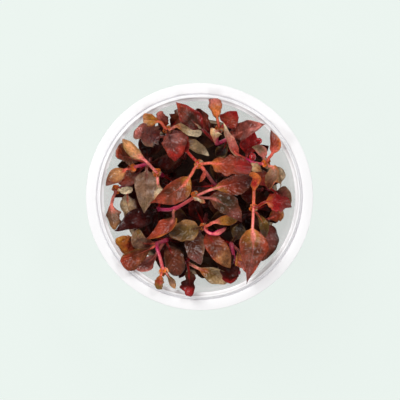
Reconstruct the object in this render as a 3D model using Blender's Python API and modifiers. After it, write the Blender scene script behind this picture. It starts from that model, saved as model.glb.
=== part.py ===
"""Alternanthera reineckii plantlets growing in a round culture cup.

Blender units are metres, +Z is up, and the origin is the middle of the cup's base.
The sizes and tables below are in millimetres.
"""

import math
from typing import NamedTuple

import bmesh
import bpy
from mathutils import Vector
from mathutils.bvhtree import BVHTree

OBJECT_NAME = "alternanthera_cup"
MM = 0.001
GAP = 0.3  # clearance between pieces that touch

# Cup
FLANGE_RADIUS = 47.5
FLANGE_THICKNESS = 1.1
LIP_DROP = 2.4
LIP_THICKNESS = 0.9
RIM_HEIGHT = 56.0
GROOVE_RADIUS = 42.9
GROOVE_WIDTH = 1.0
GROOVE_DEPTH = 0.6
BEAD_HEIGHT = 0.7
BEAD_WIDTH = 1.3
MOUTH_RADIUS = 39.9
STEP_HEIGHT = 49.8
STEP_WIDTH = 0.7
BASE_RADIUS = 35.4
WALL = 1.1
FLOOR = 1.3
BASE_ROUND = 2.2
CUP_STEPS = 30

# Gel
GEL_TOP = 12.5
MENISCUS_HEIGHT = 0.9
MENISCUS_WIDTH = 2.0
SOCKET_FLOOR = 4.5
SOCKET_SIDES = 5

# Stems
STEM_RADIUS = 1.1
STEM_TAPER = 0.25  # share of its radius that a stem loses towards its crown
STEM_POINTS = 6
STEM_UPRIGHT = 2.5  # how far above the gel a stem stays upright

# Leaves
PETIOLE_WIDTH = 1.7
PETIOLE_THICKNESS = 1.2
BLADE_THICKNESS = 0.45
TIP_WIDTH = 0.5
BROAD_LEAF = 7.0  # from this width on, a blade's outline has one more row
BROAD_ROWS = (0.0, 0.25, 0.52, 0.8, 1.0)  # shares of a blade's length where its outline is set
SLIM_ROWS = (0.0, 0.3, 0.68, 1.0)
FUSED_ROWS = (0.0, 0.4, 1.0)
PETIOLE_STARTS = (1.6, 2.1, 2.7, 3.4)  # distances from a node at which a petiole may begin
LAYERS = (1.0, 0.5, 0.0, -0.5, -1.0)  # where a leaf is tested, as shares of its clearance
LIFT_STEP = 0.5
LIFT_LIMIT = 8.0
NARROWINGS = (1.0, 0.86, 0.72)  # shares of its width that a leaf may settle for
FUSED_STARTS = (0.0, 1.2, 2.4, 3.6, 4.8)  # distances below its node at which a fused leaf may begin

# Whorls of short leaves lower on the stems: height, and how many leaves stand round the stem.
# Every stem has the upper one, and every second stem the lower one too.
WHORLS = ((41.0, 4), (28.0, 2))
WHORL_TURN = 37.0  # degrees by which each stem's whorls are turned on from the last stem's
WHORL_SHIFTS = (0.0, 1.5, -1.5, 3.0, -3.0, 4.5, -4.5, 6.0, -6.0)
WHORL_REACHES = (13.0, 12.0, 11.0, 10.0, 9.0, 8.0, 7.0, 6.0, 5.0)
WHORL_WIDTH = 0.5  # share of a whorl leaf's reach
WHORL_NOTCH = 1.9
WHORL_BELOW_CROWN = 4.0

# Boxes that the whorls leave free: the space over the gel, and the way down to it for tweezers
OPEN_SPACES = (
    ((-11.3, -6.4, 14.0), (7.0, 32.5, 27.0)),
    ((-8.8, 10.2, 26.5), (-4.2, 14.8, 62.0)),
)

LEAF_COLOURS = {
    "red_brown": (0.30, 0.045, 0.03),
    "crimson": (0.27, 0.015, 0.02),
    "orange": (0.40, 0.11, 0.035),
    "tan": (0.42, 0.20, 0.08),
    "olive": (0.17, 0.11, 0.035),
    "beige": (0.40, 0.30, 0.17),
    "mauve": (0.20, 0.05, 0.055),
    "maroon": (0.07, 0.012, 0.012),
}
STEM_COLOUR = (0.62, 0.08, 0.12)
LEAF_ROUGHNESS = 0.45
STEM_ROUGHNESS = 0.35


class Leaf(NamedTuple):
    """A leaf, from the node of its stem over the middle of its midrib to its tip."""

    name: str
    node: int  # which point of the stem's route carries it
    middle: tuple
    tip: tuple
    width: float
    colour: str
    petiole: float = 0.22  # share of the leaf's length
    roll: float = 0.0  # degrees about the midrib, left edge up
    fold: float = 14.0  # degrees by which both halves rise from the midrib
    fused: bool = False  # a small leaf that stays one piece with its stem


class Shoot(NamedTuple):
    """One stem's route from the gel to its crown, with the leaves it carries."""

    name: str
    route: tuple
    leaves: tuple


SHOOTS = (
    Shoot(
        "a",
        ((9, 3, 5), (8.5, 4, 28), (6, 5.5, 50), (3, 9.5, 58.5), (-0.3, 13.5, 63.5)),
        (
            Leaf("a1", 4, (9.5, 13.5, 70), (21.5, 12, 65), 8.4, "orange", roll=-14, fold=16),
            Leaf("a2", 4, (-8, 4.5, 69), (-21.5, -3, 60), 10.6, "orange", 0.25, fold=10),
            Leaf("a3", 4, (-6, 20, 60), (-11, 28, 54), 9.4, "red_brown", 0.35, roll=10),
            Leaf("a4", 4, (2, 10, 62), (0, 6, 57), 1.8, "orange", 0.4, fused=True),
        ),
    ),
    Shoot(
        "b",
        ((-13, 22, 5), (-14, 24, 25), (-13.5, 26.5, 43), (-13.5, 28, 56)),
        (
            Leaf("b1", 3, (-7.5, 29, 59), (0.5, 26, 55), 5.6, "beige", roll=10, fold=8),
            Leaf("b2", 3, (-17.5, 31.5, 60), (-23.5, 32, 58), 5.4, "olive", 0.4, roll=-25),
            Leaf("b3", 3, (-11.5, 22, 62.5), (-10.5, 14.8, 56), 11.0, "crimson", 0.12, fold=8),
            Leaf("b4", 2, (-4, 21, 47), (4, 17.5, 45), 4.8, "beige"),
            Leaf("b5", 3, (-15.5, 32, 55), (-17.5, 35.2, 57), 3.6, "maroon", fused=True),
            Leaf("b6", 3, (-9.5, 32, 54), (-6.5, 36.5, 57), 4.8, "maroon", fused=True),
            Leaf("b7", 2, (-21, 26, 54), (-26, 28.5, 58), 6.4, "red_brown", fused=True),
        ),
    ),
    Shoot(
        "c",
        ((-16, -2, 5), (-18, -4.5, 25), (-17.5, -5.3, 42), (-10.5, -5, 52), (-1.5, 0.3, 60.5)),
        (
            Leaf("c1", 4, (9.5, 4.5, 64.5), (22, 7.5, 60), 10.6, "red_brown", 0.3, roll=8),
            Leaf("c2", 4, (9.5, -2.7, 60), (17.5, -10.5, 56), 10.0, "red_brown", 0.15, roll=-6),
            Leaf("c3", 4, (-0.2, -1.3, 63), (2.4, -2.6, 63), 1.8, "tan", 0.5, fused=True),
            Leaf("c4", 3, (-13, -12.8, 58), (-22.5, -18, 53), 6.4, "orange", 0.15, roll=18),
            Leaf("c5", 2, (-26, -10, 50), (-35.5, -14.5, 57), 8.6, "maroon", 0.1),
        ),
    ),
    Shoot(
        "d",
        ((22, -8, 5), (23, -7, 25), (23, -6, 42), (22.8, -5.2, 51), (22.5, -4.6, 58)),
        (
            Leaf("d1", 4, (21.3, -19, 65), (19.5, -36.5, 59.5), 12.0, "orange", 0.28, fold=8),
            Leaf("d2", 4, (22.5, 3, 61), (22.3, 10.5, 56), 5.4, "crimson", 0.45, fold=20),
            Leaf("d3", 4, (30, -2, 61), (38.3, -4.5, 58), 7.8, "crimson", 0.32, roll=-10),
            Leaf("d5", 3, (26, -10.5, 54), (27.5, -17.5, 48), 3.8, "olive", fused=True),
        ),
    ),
    Shoot(
        "f",
        ((-14, 8, 5), (-15, 9, 30), (-17, 9.5, 48), (-17.8, 10, 58.5)),
        (
            Leaf("f1", 3, (-24, 16.5, 63), (-32, 24, 59), 6.4, "tan", 0.36, roll=-8),
            Leaf("f2", 3, (-17, 4, 57.5), (-15.5, -1.5, 52), 5.4, "beige", 0.35, roll=10),
        ),
    ),
    Shoot(
        "g",
        ((-22, 17, 5), (-22, 16, 28), (-22.5, 14, 46), (-28.5, 12.2, 51.5)),
        (
            Leaf("g1", 3, (-33, 10, 56), (-39, 4.5, 58), 5.6, "tan", 0.2, roll=10),
            Leaf("g2", 2, (-22.5, 4.5, 52), (-23.5, -7, 49), 10.0, "olive", 0.08, fold=9),
            Leaf("g3", 2, (-28.5, 9, 46), (-35, 6, 43), 6.6, "mauve", 0.12),
            Leaf("g4", 3, (-29.5, 15, 54.5), (-29, 18, 53), 3.8, "tan", fused=True),
            Leaf("g5", 2, (-30, 16.5, 53), (-35, 17, 57.5), 6.0, "red_brown", fused=True),
        ),
    ),
    Shoot(
        "h",
        ((-30, 3, 5), (-30.5, 4, 24), (-31, 5, 38), (-35.5, 3, 46.5)),
        (
            Leaf("h1", 3, (-37, -5, 52), (-35.5, -14, 52), 5.4, "orange", 0.4, roll=-28),
            Leaf("h2", 2, (-30.5, -2.5, 44), (-28, -8, 44), 5.6, "olive", 0.3, fused=True),
            Leaf("h3", 3, (-32, 2.6, 48), (-28.5, 3.5, 47), 2.8, "beige", fused=True),
        ),
    ),
    Shoot(
        "k",
        (
            (-12, -17, 5),
            (-13, -18, 25),
            (-14.5, -18.8, 42),
            (-18, -20.3, 49),
            (-16.5, -26, 53),
            (-15, -31.3, 56.5),
        ),
        (
            Leaf("k1", 3, (-25, -24, 57), (-33, -26.5, 59.5), 9.6, "orange", 0.1, roll=-10),
            Leaf("k2", 2, (-11.5, -25.5, 48), (-9.5, -34, 45), 9.8, "olive", 0.1, fold=9),
            Leaf("k3", 5, (-16.3, -34.5, 59.5), (-16.5, -38.5, 59.5), 3.0, "olive", 0.3, fused=True),
            Leaf("k4", 5, (-12, -34.5, 59), (-10.2, -38.3, 59.5), 2.8, "tan", 0.3, fused=True),
            Leaf("k5", 2, (-27, -21, 50), (-35, -17.5, 56), 6.4, "olive", fused=True),
            Leaf("k6", 2, (-24, -19.5, 50), (-25.5, -13.5, 53), 5.4, "olive", fused=True),
            Leaf("k7", 2, (-22, -27.5, 48), (-28.5, -26.5, 50), 6.6, "mauve", 0.2),
        ),
    ),
    Shoot(
        "n",
        ((3, -8, 5), (2.5, -10, 28), (2, -12.5, 45), (1.8, -12.8, 51.5)),
        (
            Leaf("n1", 3, (-5, -13.8, 54.5), (-13.2, -15, 50), 9.6, "olive", 0.1, fold=9),
            Leaf("n2", 2, (-2.5, -20, 49), (0.5, -29, 46), 10.8, "mauve", 0.1, fold=9),
            Leaf("n3", 2, (6.5, -21, 54), (13, -30, 48), 9.0, "orange", 0.12),
            Leaf("n4", 3, (7.5, -10.4, 55.5), (16.2, -9.5, 51), 3.8, "tan", 0.38),
            Leaf("n5", 3, (5.5, -15.5, 55), (11.5, -12.8, 52), 2.4, "crimson", 0.45, fused=True),
        ),
    ),
    Shoot(
        "q",
        ((-4, -25, 5), (-5, -27, 25), (-5.2, -28.3, 42)),
        (
            Leaf("q1", 2, (3, -32, 48), (12, -35.5, 47), 7.6, "olive", 0.28),
            Leaf("q2", 2, (-4, -35.5, 56), (-4, -41.5, 60), 5.6, "crimson", 0.2),
        ),
    ),
    Shoot(
        "r",
        ((25, -12, 5), (27, -11.5, 24), (28.5, -10, 40.5)),
        (
            Leaf("r1", 2, (28.8, -17.5, 50), (26.5, -27, 50), 9.2, "maroon", 0.1, roll=6),
            Leaf("r2", 2, (33, -8, 46), (36, -7, 49), 4.2, "olive", fused=True),
        ),
    ),
    Shoot(
        "s",
        ((25, 3, 5), (27.5, 3, 24), (30, 3.8, 42)),
        (
            Leaf("s1", 2, (34.5, 0.3, 50), (38.2, -2.7, 56), 7.0, "mauve"),
            Leaf("s2", 2, (33.2, 8, 50), (36.5, 9, 54), 6.0, "tan"),
            Leaf("s4", 2, (27, 7, 47), (26.5, 11.5, 46), 7.0, "red_brown", fused=True),
        ),
    ),
    Shoot(
        "u",
        ((9, 21, 5), (10.5, 22.5, 26), (11.5, 24.3, 44), (7.2, 22.8, 48), (8.3, 28.5, 54.5)),
        (
            Leaf("u1", 3, (-1.2, 30.2, 58.5), (-9.8, 39.3, 60), 9.0, "red_brown", 0.34, roll=-10),
            Leaf("u2", 4, (7, 34.5, 61), (6, 40.8, 60), 5.8, "tan", 0.26, fold=10),
            Leaf("u3", 4, (6.6, 26, 58), (6.5, 22, 55), 5.2, "beige", 0.1),
            Leaf("u4", 2, (19, 28, 58), (27.5, 30.3, 59), 9.0, "red_brown", 0.1, roll=-8),
            Leaf("u5", 4, (12, 31.5, 55), (15.5, 35.5, 57.5), 6.8, "crimson", 0.2),
            Leaf("u6", 2, (10, 20.5, 46), (7, 17.5, 43), 5.4, "maroon", fused=True),
            Leaf("u7", 3, (2, 31, 53), (-1, 37, 57), 5.0, "maroon", fused=True),
        ),
    ),
    Shoot(
        "w",
        ((18, 12, 5), (19, 14, 26), (19.8, 15.7, 46), (24, 13.8, 50.5), (28, 14, 55)),
        (
            Leaf("w1", 4, (30.5, 20, 61.5), (29.5, 27.8, 61), 5.4, "orange", 0.3, roll=14),
            Leaf("w2", 4, (31, 10.5, 58), (29, 3.5, 54), 4.4, "tan", 0.2, roll=10),
            Leaf("w3", 2, (13, 21, 56), (9.8, 31, 57), 5.2, "crimson", 0.2, roll=30, fold=24),
            Leaf("w4", 2, (21, 21.5, 46), (23, 28.5, 46), 9.0, "crimson", 0.1),
            Leaf("w5", 3, (23, 13, 54), (26.5, 10.5, 52), 4.6, "beige", 0.1),
            Leaf("w6", 4, (26, 19, 55), (22, 20.8, 53), 3.4, "mauve", fused=True),
        ),
    ),
    Shoot(
        "x",
        ((12, -22, 5), (13, -21, 24), (13.7, -20.5, 40), (15, -27, 42), (17, -33, 45.5)),
        (
            Leaf("x1", 4, (16.5, -28.5, 51), (16.2, -23, 50), 3.4, "orange", 0.15, fused=True),
            Leaf("x2", 2, (18.5, -25.5, 50), (19.5, -32, 51), 6.0, "mauve", fused=True),
            Leaf("x4", 2, (16, -16, 44), (17.5, -11.5, 44), 6.4, "olive", fused=True),
            Leaf("x5", 3, (13, -32, 51), (13, -36.5, 57), 5.4, "crimson", fused=True),
        ),
    ),
)


def clear_scene():
    """Removes every object, so that the model starts from nothing."""
    for item in list(bpy.data.objects):
        bpy.data.objects.remove(item, do_unlink=True)


def new_collection(name):
    """Adds a collection to the scene."""
    collection = bpy.data.collections.new(name)
    bpy.context.scene.collection.children.link(collection)
    return collection


def move_to(item, collection):
    """Takes an object out of its collections and puts it in the one given."""
    for old in list(item.users_collection):
        old.objects.unlink(item)
    collection.objects.link(item)


def make_cutter(item, cutters):
    """Keeps an object out of the model: it only cuts, or is joined to, another."""
    item.hide_render = True
    item.display_type = "WIRE"
    move_to(item, cutters)


def make_material(name, colour, roughness, transmission=0.0):
    """A Principled material of one colour."""
    material = bpy.data.materials.new(name)
    material.use_nodes = True
    shader = material.node_tree.nodes["Principled BSDF"]
    shader.inputs["Base Color"].default_value = (*colour, 1.0)
    shader.inputs["Roughness"].default_value = roughness
    shader.inputs["Metallic"].default_value = 0.0
    shader.inputs["Transmission Weight"].default_value = transmission
    return material


def turned(name, profile, collection):
    """Spins a profile of (radius, height) into a solid of revolution."""
    mesh = bpy.data.meshes.new(name)
    points = [(radius * MM, 0.0, height * MM) for radius, height in profile]
    mesh.from_pydata(points, [(i, i + 1) for i in range(len(points) - 1)], [])
    item = bpy.data.objects.new(name, mesh)
    collection.objects.link(item)
    screw = item.modifiers.new("Turn", "SCREW")
    screw.angle = math.tau
    screw.steps = CUP_STEPS
    screw.render_steps = CUP_STEPS
    screw.use_merge_vertices = True
    screw.merge_threshold = 0.00005
    screw.use_smooth_shade = True
    return item


def wall_radius(height):
    """Inner radius of the cup's tapered wall below its stacking step."""
    top = MOUTH_RADIUS - 0.4 - STEP_WIDTH
    share = (height - FLOOR) / (STEP_HEIGHT - FLOOR)
    return BASE_RADIUS - WALL + share * (top - BASE_RADIUS + WALL)


def cup_profile():
    """Half section of the cup: up the inside, over the bead and flange, and down the outside."""
    bead_outer = GROOVE_RADIUS - GROOVE_WIDTH / 2
    bead_inner = bead_outer - BEAD_WIDTH
    groove_outer = GROOVE_RADIUS + GROOVE_WIDTH / 2
    bead_top = RIM_HEIGHT + BEAD_HEIGHT
    groove_floor = RIM_HEIGHT - GROOVE_DEPTH
    flange_under = RIM_HEIGHT - FLANGE_THICKNESS
    lip_inner = FLANGE_RADIUS - LIP_THICKNESS
    neck = MOUTH_RADIUS - 0.4
    return [
        (0.0, FLOOR),
        (wall_radius(FLOOR) - BASE_ROUND, FLOOR),
        (wall_radius(FLOOR + BASE_ROUND), FLOOR + BASE_ROUND),
        (wall_radius(STEP_HEIGHT), STEP_HEIGHT),
        (neck, STEP_HEIGHT + STEP_WIDTH),
        (MOUTH_RADIUS, RIM_HEIGHT - 0.6),
        (bead_inner, RIM_HEIGHT),
        (bead_inner + 0.3, bead_top),
        (bead_outer - 0.3, bead_top),
        (bead_outer, groove_floor),
        (groove_outer - 0.2, groove_floor),
        (groove_outer, RIM_HEIGHT),
        (FLANGE_RADIUS, RIM_HEIGHT),
        (FLANGE_RADIUS, RIM_HEIGHT - LIP_DROP),
        (lip_inner, RIM_HEIGHT - LIP_DROP),
        (lip_inner - 0.2, flange_under),
        (neck + WALL + 0.3, flange_under),
        (neck + WALL, STEP_HEIGHT + 0.5),
        (wall_radius(STEP_HEIGHT) + WALL, STEP_HEIGHT - 1.2),
        (BASE_RADIUS + 0.15, BASE_ROUND),
        (BASE_RADIUS - 0.3 * BASE_ROUND, 0.3 * BASE_ROUND),
        (BASE_RADIUS - BASE_ROUND, 0.0),
        (0.0, 0.0),
    ]


def make_cup(collection):
    """The moulded cup."""
    cup = turned("cup", cup_profile(), collection)
    cup.data.materials.append(make_material("clear plastic", (0.93, 0.92, 0.92), 0.15, 0.8))
    return cup


def make_gel(collection, cutters):
    """The set gel on the cup's floor, with a socket for every stem's foot."""
    low = FLOOR + GAP
    top_radius = wall_radius(GEL_TOP) - GAP
    profile = [
        (0.0, low),
        (wall_radius(FLOOR) - BASE_ROUND - GAP, low),
        (wall_radius(low + BASE_ROUND) - GAP, low + BASE_ROUND + GAP),
        (top_radius, GEL_TOP + MENISCUS_HEIGHT),
        (top_radius - MENISCUS_WIDTH, GEL_TOP),
        (0.0, GEL_TOP),
    ]
    gel = turned("nutrient_gel", list(reversed(profile)), collection)
    depth = GEL_TOP + 1.0 - SOCKET_FLOOR
    for shoot in SHOOTS:
        foot = Vector((shoot.route[0][0], shoot.route[0][1], SOCKET_FLOOR + depth / 2))
        bpy.ops.mesh.primitive_cylinder_add(
            vertices=SOCKET_SIDES,
            radius=(STEM_RADIUS + 2 * GAP) * MM,
            depth=depth * MM,
            location=foot * MM,
        )
        socket = bpy.context.object
        socket.name = f"socket_{shoot.name}"
        make_cutter(socket, cutters)
        cut = gel.modifiers.new(f"Socket {shoot.name}", "BOOLEAN")
        cut.operation = "DIFFERENCE"
        cut.object = socket
    gel.data.materials.append(make_material("gel", (0.80, 0.74, 0.62), 0.1, 0.9))
    return gel


def smooth_point(points, share):
    """Point at share, from 0 to 1, of a Catmull-Rom curve through the points."""
    place = share * (len(points) - 1)
    i = min(int(place), len(points) - 2)
    t = place - i
    before = points[max(i - 1, 0)]
    start, end = points[i], points[i + 1]
    after = points[min(i + 2, len(points) - 1)]
    return 0.5 * (
        2 * start
        + (end - before) * t
        + (2 * before - 5 * start + 4 * end - after) * t * t
        + (3 * start - before - 3 * end + after) * t**3
    )


def stem_route(shoot):
    """The stem's route, upright where it stands in the gel."""
    route = [Vector(point) for point in shoot.route]
    above = Vector((route[0].x, route[0].y, GEL_TOP + STEM_UPRIGHT))
    return [route[0], above, *route[1:]]


def stem_shares(route):
    """Shares of the route at which the tube has a point: its nodes, and some between."""
    spans = len(route) - 1
    nodes = [i / spans for i in range(spans + 1)]
    between = [(i + 0.5) / spans for i in range(1, spans)]
    return sorted(nodes + between[: max(STEM_POINTS - len(nodes), 0)])


def solid_from_curve(name, curve, place, collection):
    """Makes a mesh object from a curve with its caps welded on, so that it can be joined."""
    guide = bpy.data.objects.new(f"{name}_curve", curve)
    guide.location = place
    collection.objects.link(guide)
    graph = bpy.context.evaluated_depsgraph_get()
    mesh = bpy.data.meshes.new_from_object(guide.evaluated_get(graph))
    solid = bpy.data.objects.new(name, mesh)
    solid.matrix_world = guide.matrix_world
    collection.objects.link(solid)
    bpy.data.objects.remove(guide)
    work = bmesh.new()
    work.from_mesh(mesh)
    bmesh.ops.remove_doubles(work, verts=work.verts, dist=0.00001)
    bmesh.ops.recalc_face_normals(work, faces=work.faces)
    work.to_mesh(mesh)
    work.free()
    mesh.materials.clear()
    return solid


def make_stem(shoot, collection):
    """A stem as a tapered tube along its route."""
    route = stem_route(shoot)
    shares = stem_shares(route)
    curve = bpy.data.curves.new(f"stem_{shoot.name}_curve", "CURVE")
    curve.dimensions = "3D"
    curve.bevel_depth = STEM_RADIUS * MM
    curve.bevel_resolution = 1
    curve.use_fill_caps = True
    spline = curve.splines.new("POLY")
    spline.points.add(len(shares) - 1)
    for point, share in zip(spline.points, shares):
        point.co = (*(smooth_point(route, share) * MM), 1.0)
        point.radius = 1.0 - STEM_TAPER * share
    stem = solid_from_curve(f"stem_{shoot.name}", curve, Vector((0, 0, 0)), collection)
    stem.data.materials.append(make_material(f"stem {shoot.name}", STEM_COLOUR, STEM_ROUGHNESS))
    stem.data.shade_smooth()
    stem.data.set_sharp_from_angle(angle=math.radians(50))
    return stem


def ease(share):
    """Rises smoothly from 0 to 1 as share goes from 0 to 1."""
    share = min(max(share, 0.0), 1.0)
    return share * share * (3 - 2 * share)


def midrib(leaf, start, lift, share):
    """Point of the leaf's midrib at share of its length; lift raises all but its foot."""
    middle, tip = Vector(leaf.middle), Vector(leaf.tip)
    control = 2 * middle - (start + tip) / 2
    point = (1 - share) ** 2 * start + 2 * share * (1 - share) * control + share**2 * tip
    point.z += lift * ease(share / 0.6)
    return point


def half_width(leaf, share):
    """Half the leaf's width at share of its length: a narrow petiole, then a pointed oval blade."""
    stalk = PETIOLE_WIDTH / 2
    if share <= leaf.petiole:
        return stalk
    along = min((share - leaf.petiole) / (1 - leaf.petiole), 1.0)
    oval = leaf.width / 2 * max(math.sin(math.pi * along**0.8), 0.0) ** 0.9
    return max(oval, stalk * (1 - along), TIP_WIDTH / 2)


def leaf_frame(leaf, start, lift, share):
    """Midrib point, direction to the left edge and upward normal at share of the length."""
    ahead = midrib(leaf, start, lift, min(max(share, 0.0) + 0.02, 1.0))
    behind = midrib(leaf, start, lift, max(min(share, 1.0) - 0.02, 0.0))
    tangent = (ahead - behind).normalized()
    chord = (Vector(leaf.tip) - start).normalized()
    heading = Vector((tangent.x + 0.3 * chord.x, tangent.y + 0.3 * chord.y, 0)).normalized()
    side = Vector((0, 0, 1)).cross(heading)
    side = (side - side.dot(tangent) * tangent).normalized()
    normal = tangent.cross(side)
    roll = math.radians(leaf.roll * ease(share * 2))
    left = math.cos(roll) * side + math.sin(roll) * normal
    up = math.cos(roll) * normal - math.sin(roll) * side
    return midrib(leaf, start, lift, share), left, up


def leaf_point(leaf, start, lift, share, across):
    """Point of the leaf, and its normal, at share of its length and across, from -1 to 1."""
    here, left, up = leaf_frame(leaf, start, lift, share)
    half = half_width(leaf, share)
    slope = math.tan(math.radians(leaf.fold)) if share > leaf.petiole else 0.0
    return here + left * across * half + up * half * slope * abs(across) ** 1.3, up


def leaf_rows(leaf):
    """Shares of the leaf's length at which its cross sections stand."""
    rows = BROAD_ROWS if leaf.width >= BROAD_LEAF else SLIM_ROWS
    if leaf.fused:
        rows = FUSED_ROWS
    return [0.0] + [leaf.petiole + (1 - leaf.petiole) * row for row in rows]


def thickness(leaf, share):
    """The leaf's thickness, greater in the petiole than in the blade."""
    return PETIOLE_THICKNESS if share <= leaf.petiole + 0.01 else BLADE_THICKNESS


def skins(leaf, start, lift):
    """Search trees of layers of the leaf, the outer two the clearance above and below it."""
    rows = leaf_rows(leaf)
    spare = GAP / (Vector(leaf.tip) - start).length
    rows[0] -= spare
    rows[-1] += spare
    columns = (-1.06, 0.0, 1.06)
    wide = len(columns)
    faces = [
        (wide * i + j, wide * i + j + 1, wide * i + j + wide + 1, wide * i + j + wide)
        for i in range(len(rows) - 1)
        for j in range(wide - 1)
    ]
    trees = []
    for way in LAYERS:
        points = []
        for share in rows:
            offset = way * (thickness(leaf, share) / 2 + GAP)
            for across in columns:
                point, up = leaf_point(leaf, start, lift, share, across)
                points.append(point + up * offset)
        trees.append(BVHTree.FromPolygons(points, faces))
    return trees


def touches(trees, others):
    """True if any of the trees meets any of the others."""
    return any(tree.overlap(other) for tree in trees for other in others)


def leaf_starts(shoot, leaf):
    """Places where the leaf may begin: in its stem if it is fused to it, else just clear of it."""
    node = Vector(shoot.route[leaf.node])
    if leaf.fused:
        below = Vector(shoot.route[leaf.node - 1])
        return [node + (below - node).normalized() * down for down in FUSED_STARTS]
    way = (Vector(leaf.middle) - node).normalized()
    return [node + way * clear for clear in PETIOLE_STARTS]


def room_for(shoot, leaf, others):
    """The widest leaf, nearest start and smallest lift with which the leaf clears the others."""
    lifts = [0.0]
    for i in range(1, int(LIFT_LIMIT / LIFT_STEP) + 1):
        lifts += [-i * LIFT_STEP, i * LIFT_STEP]
    for narrowing in NARROWINGS:
        fitted = leaf._replace(width=leaf.width * narrowing)
        for start in leaf_starts(shoot, leaf):
            for lift in lifts:
                if not touches(skins(fitted, start, lift), others):
                    return fitted, start, lift
    raise RuntimeError(f"leaf {leaf.name} finds no room")


def make_leaf(leaf, start, lift, collection):
    """A leaf from a grid bent to its outline and midrib, given its thickness by Solidify."""
    rows = leaf_rows(leaf)
    bpy.ops.mesh.primitive_grid_add(x_subdivisions=len(rows) - 1, y_subdivisions=2, size=2)
    item = bpy.context.object
    item.name = f"leaf_{leaf.name}"
    item.data.name = item.name
    move_to(item, collection)
    group = item.vertex_groups.new(name="thickness")
    for vertex in item.data.vertices:
        row = round((vertex.co.x + 1) / 2 * (len(rows) - 1))
        point, _ = leaf_point(leaf, start, lift, rows[row], vertex.co.y)
        vertex.co = point * MM
        group.add([vertex.index], thickness(leaf, rows[row]) / PETIOLE_THICKNESS, "REPLACE")
    shell = item.modifiers.new("Thickness", "SOLIDIFY")
    shell.thickness = PETIOLE_THICKNESS * MM
    shell.offset = 0.0
    shell.vertex_group = group.name
    colour = LEAF_COLOURS[leaf.colour]
    item.data.materials.append(make_material(f"leaf {leaf.name}", colour, LEAF_ROUGHNESS))
    item.data.shade_smooth()
    item.data.set_sharp_from_angle(angle=math.radians(60))
    return item


def stem_node_at(shoot, height):
    """Point of the stem's axis at the given height."""
    route = stem_route(shoot)
    shares = [i / 120 for i in range(121)]
    points = [smooth_point(route, share) for share in shares]
    return min(points, key=lambda point: abs(point.z - height))


def ray(turn, length):
    """Horizontal vector of the given direction and length."""
    return Vector((math.cos(turn), math.sin(turn), 0)) * length


def arm_outline(turn, reach):
    """Outline of one flat leaf of a whorl, from its right edge over its tip to its left edge."""
    middle = ray(turn, reach / 2)
    side = ray(turn + math.pi / 2, reach * WHORL_WIDTH / 2)
    return [middle - side, ray(turn, reach), middle + side]


def arm_reach(node, turn, count, others):
    """The longest reach at which one leaf of a whorl of count leaves clears the others, or 0."""
    hub = WHORL_NOTCH + GAP
    notches = [ray(turn - math.pi / count, hub), ray(turn + math.pi / count, hub)]
    for reach in WHORL_REACHES:
        outline = [notches[0], *arm_outline(turn, reach + 2 * GAP), notches[1]]
        trees = []
        for way in LAYERS:
            level = node + Vector((0, 0, way * (BLADE_THICKNESS / 2 + GAP)))
            corners = [level] + [level + corner for corner in outline]
            faces = [(0, i, i + 1) for i in range(1, len(outline))]
            trees.append(BVHTree.FromPolygons(corners, faces))
        if not touches(trees, others):
            return reach
    return 0.0


def whorl_turns(number, tier, count):
    """Directions of a whorl's leaves, in radians."""
    first = math.radians(number * WHORL_TURN + tier * 45)
    return [first + math.tau * i / count for i in range(count)]


def make_whorl(shoot, number, tier, others, collection):
    """A flat whorl of short leaves round a stem, at the height near its tier with most room."""
    height, count = WHORLS[tier]
    turns = whorl_turns(number, tier, count)
    highest = shoot.route[-1][2] - WHORL_BELOW_CROWN
    choices = []
    for shift in WHORL_SHIFTS:
        node = stem_node_at(shoot, min(height + shift, highest))
        choices.append((node, [arm_reach(node, turn, count, others) for turn in turns]))
    node, reaches = max(choices, key=lambda choice: sum(choice[1]))
    outline = []
    for turn, reach in zip(turns, reaches):
        outline.append(ray(turn - math.pi / count, WHORL_NOTCH))
        if reach:
            outline += arm_outline(turn, reach)
    name = f"whorl_{shoot.name}_{tier + 1}"
    curve = bpy.data.curves.new(name, "CURVE")
    curve.dimensions = "2D"
    curve.fill_mode = "BOTH"
    curve.extrude = BLADE_THICKNESS / 2 * MM
    spline = curve.splines.new("POLY")
    spline.points.add(len(outline) - 1)
    for point, corner in zip(spline.points, outline):
        point.co = (*(corner * MM), 1.0)
    spline.use_cyclic_u = True
    return solid_from_curve(name, curve, node * MM, collection)


def tree_of(item):
    """Search tree of an object's evaluated mesh, in millimetres."""
    graph = bpy.context.evaluated_depsgraph_get()
    mesh = item.evaluated_get(graph).to_mesh()
    points = [item.matrix_world @ vertex.co / MM for vertex in mesh.vertices]
    return BVHTree.FromPolygons(points, [tuple(face.vertices) for face in mesh.polygons])


def box_tree(low, high):
    """Search tree of a box's faces."""
    ends = list(zip(low, high))
    corners = [Vector((x, y, z)) for x in ends[0] for y in ends[1] for z in ends[2]]
    faces = [(0, 1, 3, 2), (4, 6, 7, 5), (0, 4, 5, 1), (2, 3, 7, 6), (0, 2, 6, 4), (1, 5, 7, 3)]
    return BVHTree.FromPolygons(corners, faces)


def join_to(stem, item, cutters):
    """Joins a small leaf or a whorl to the stem that it grows from."""
    make_cutter(item, cutters)
    union = stem.modifiers.new(f"Join {item.name}", "BOOLEAN")
    union.operation = "UNION"
    union.object = item


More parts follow.
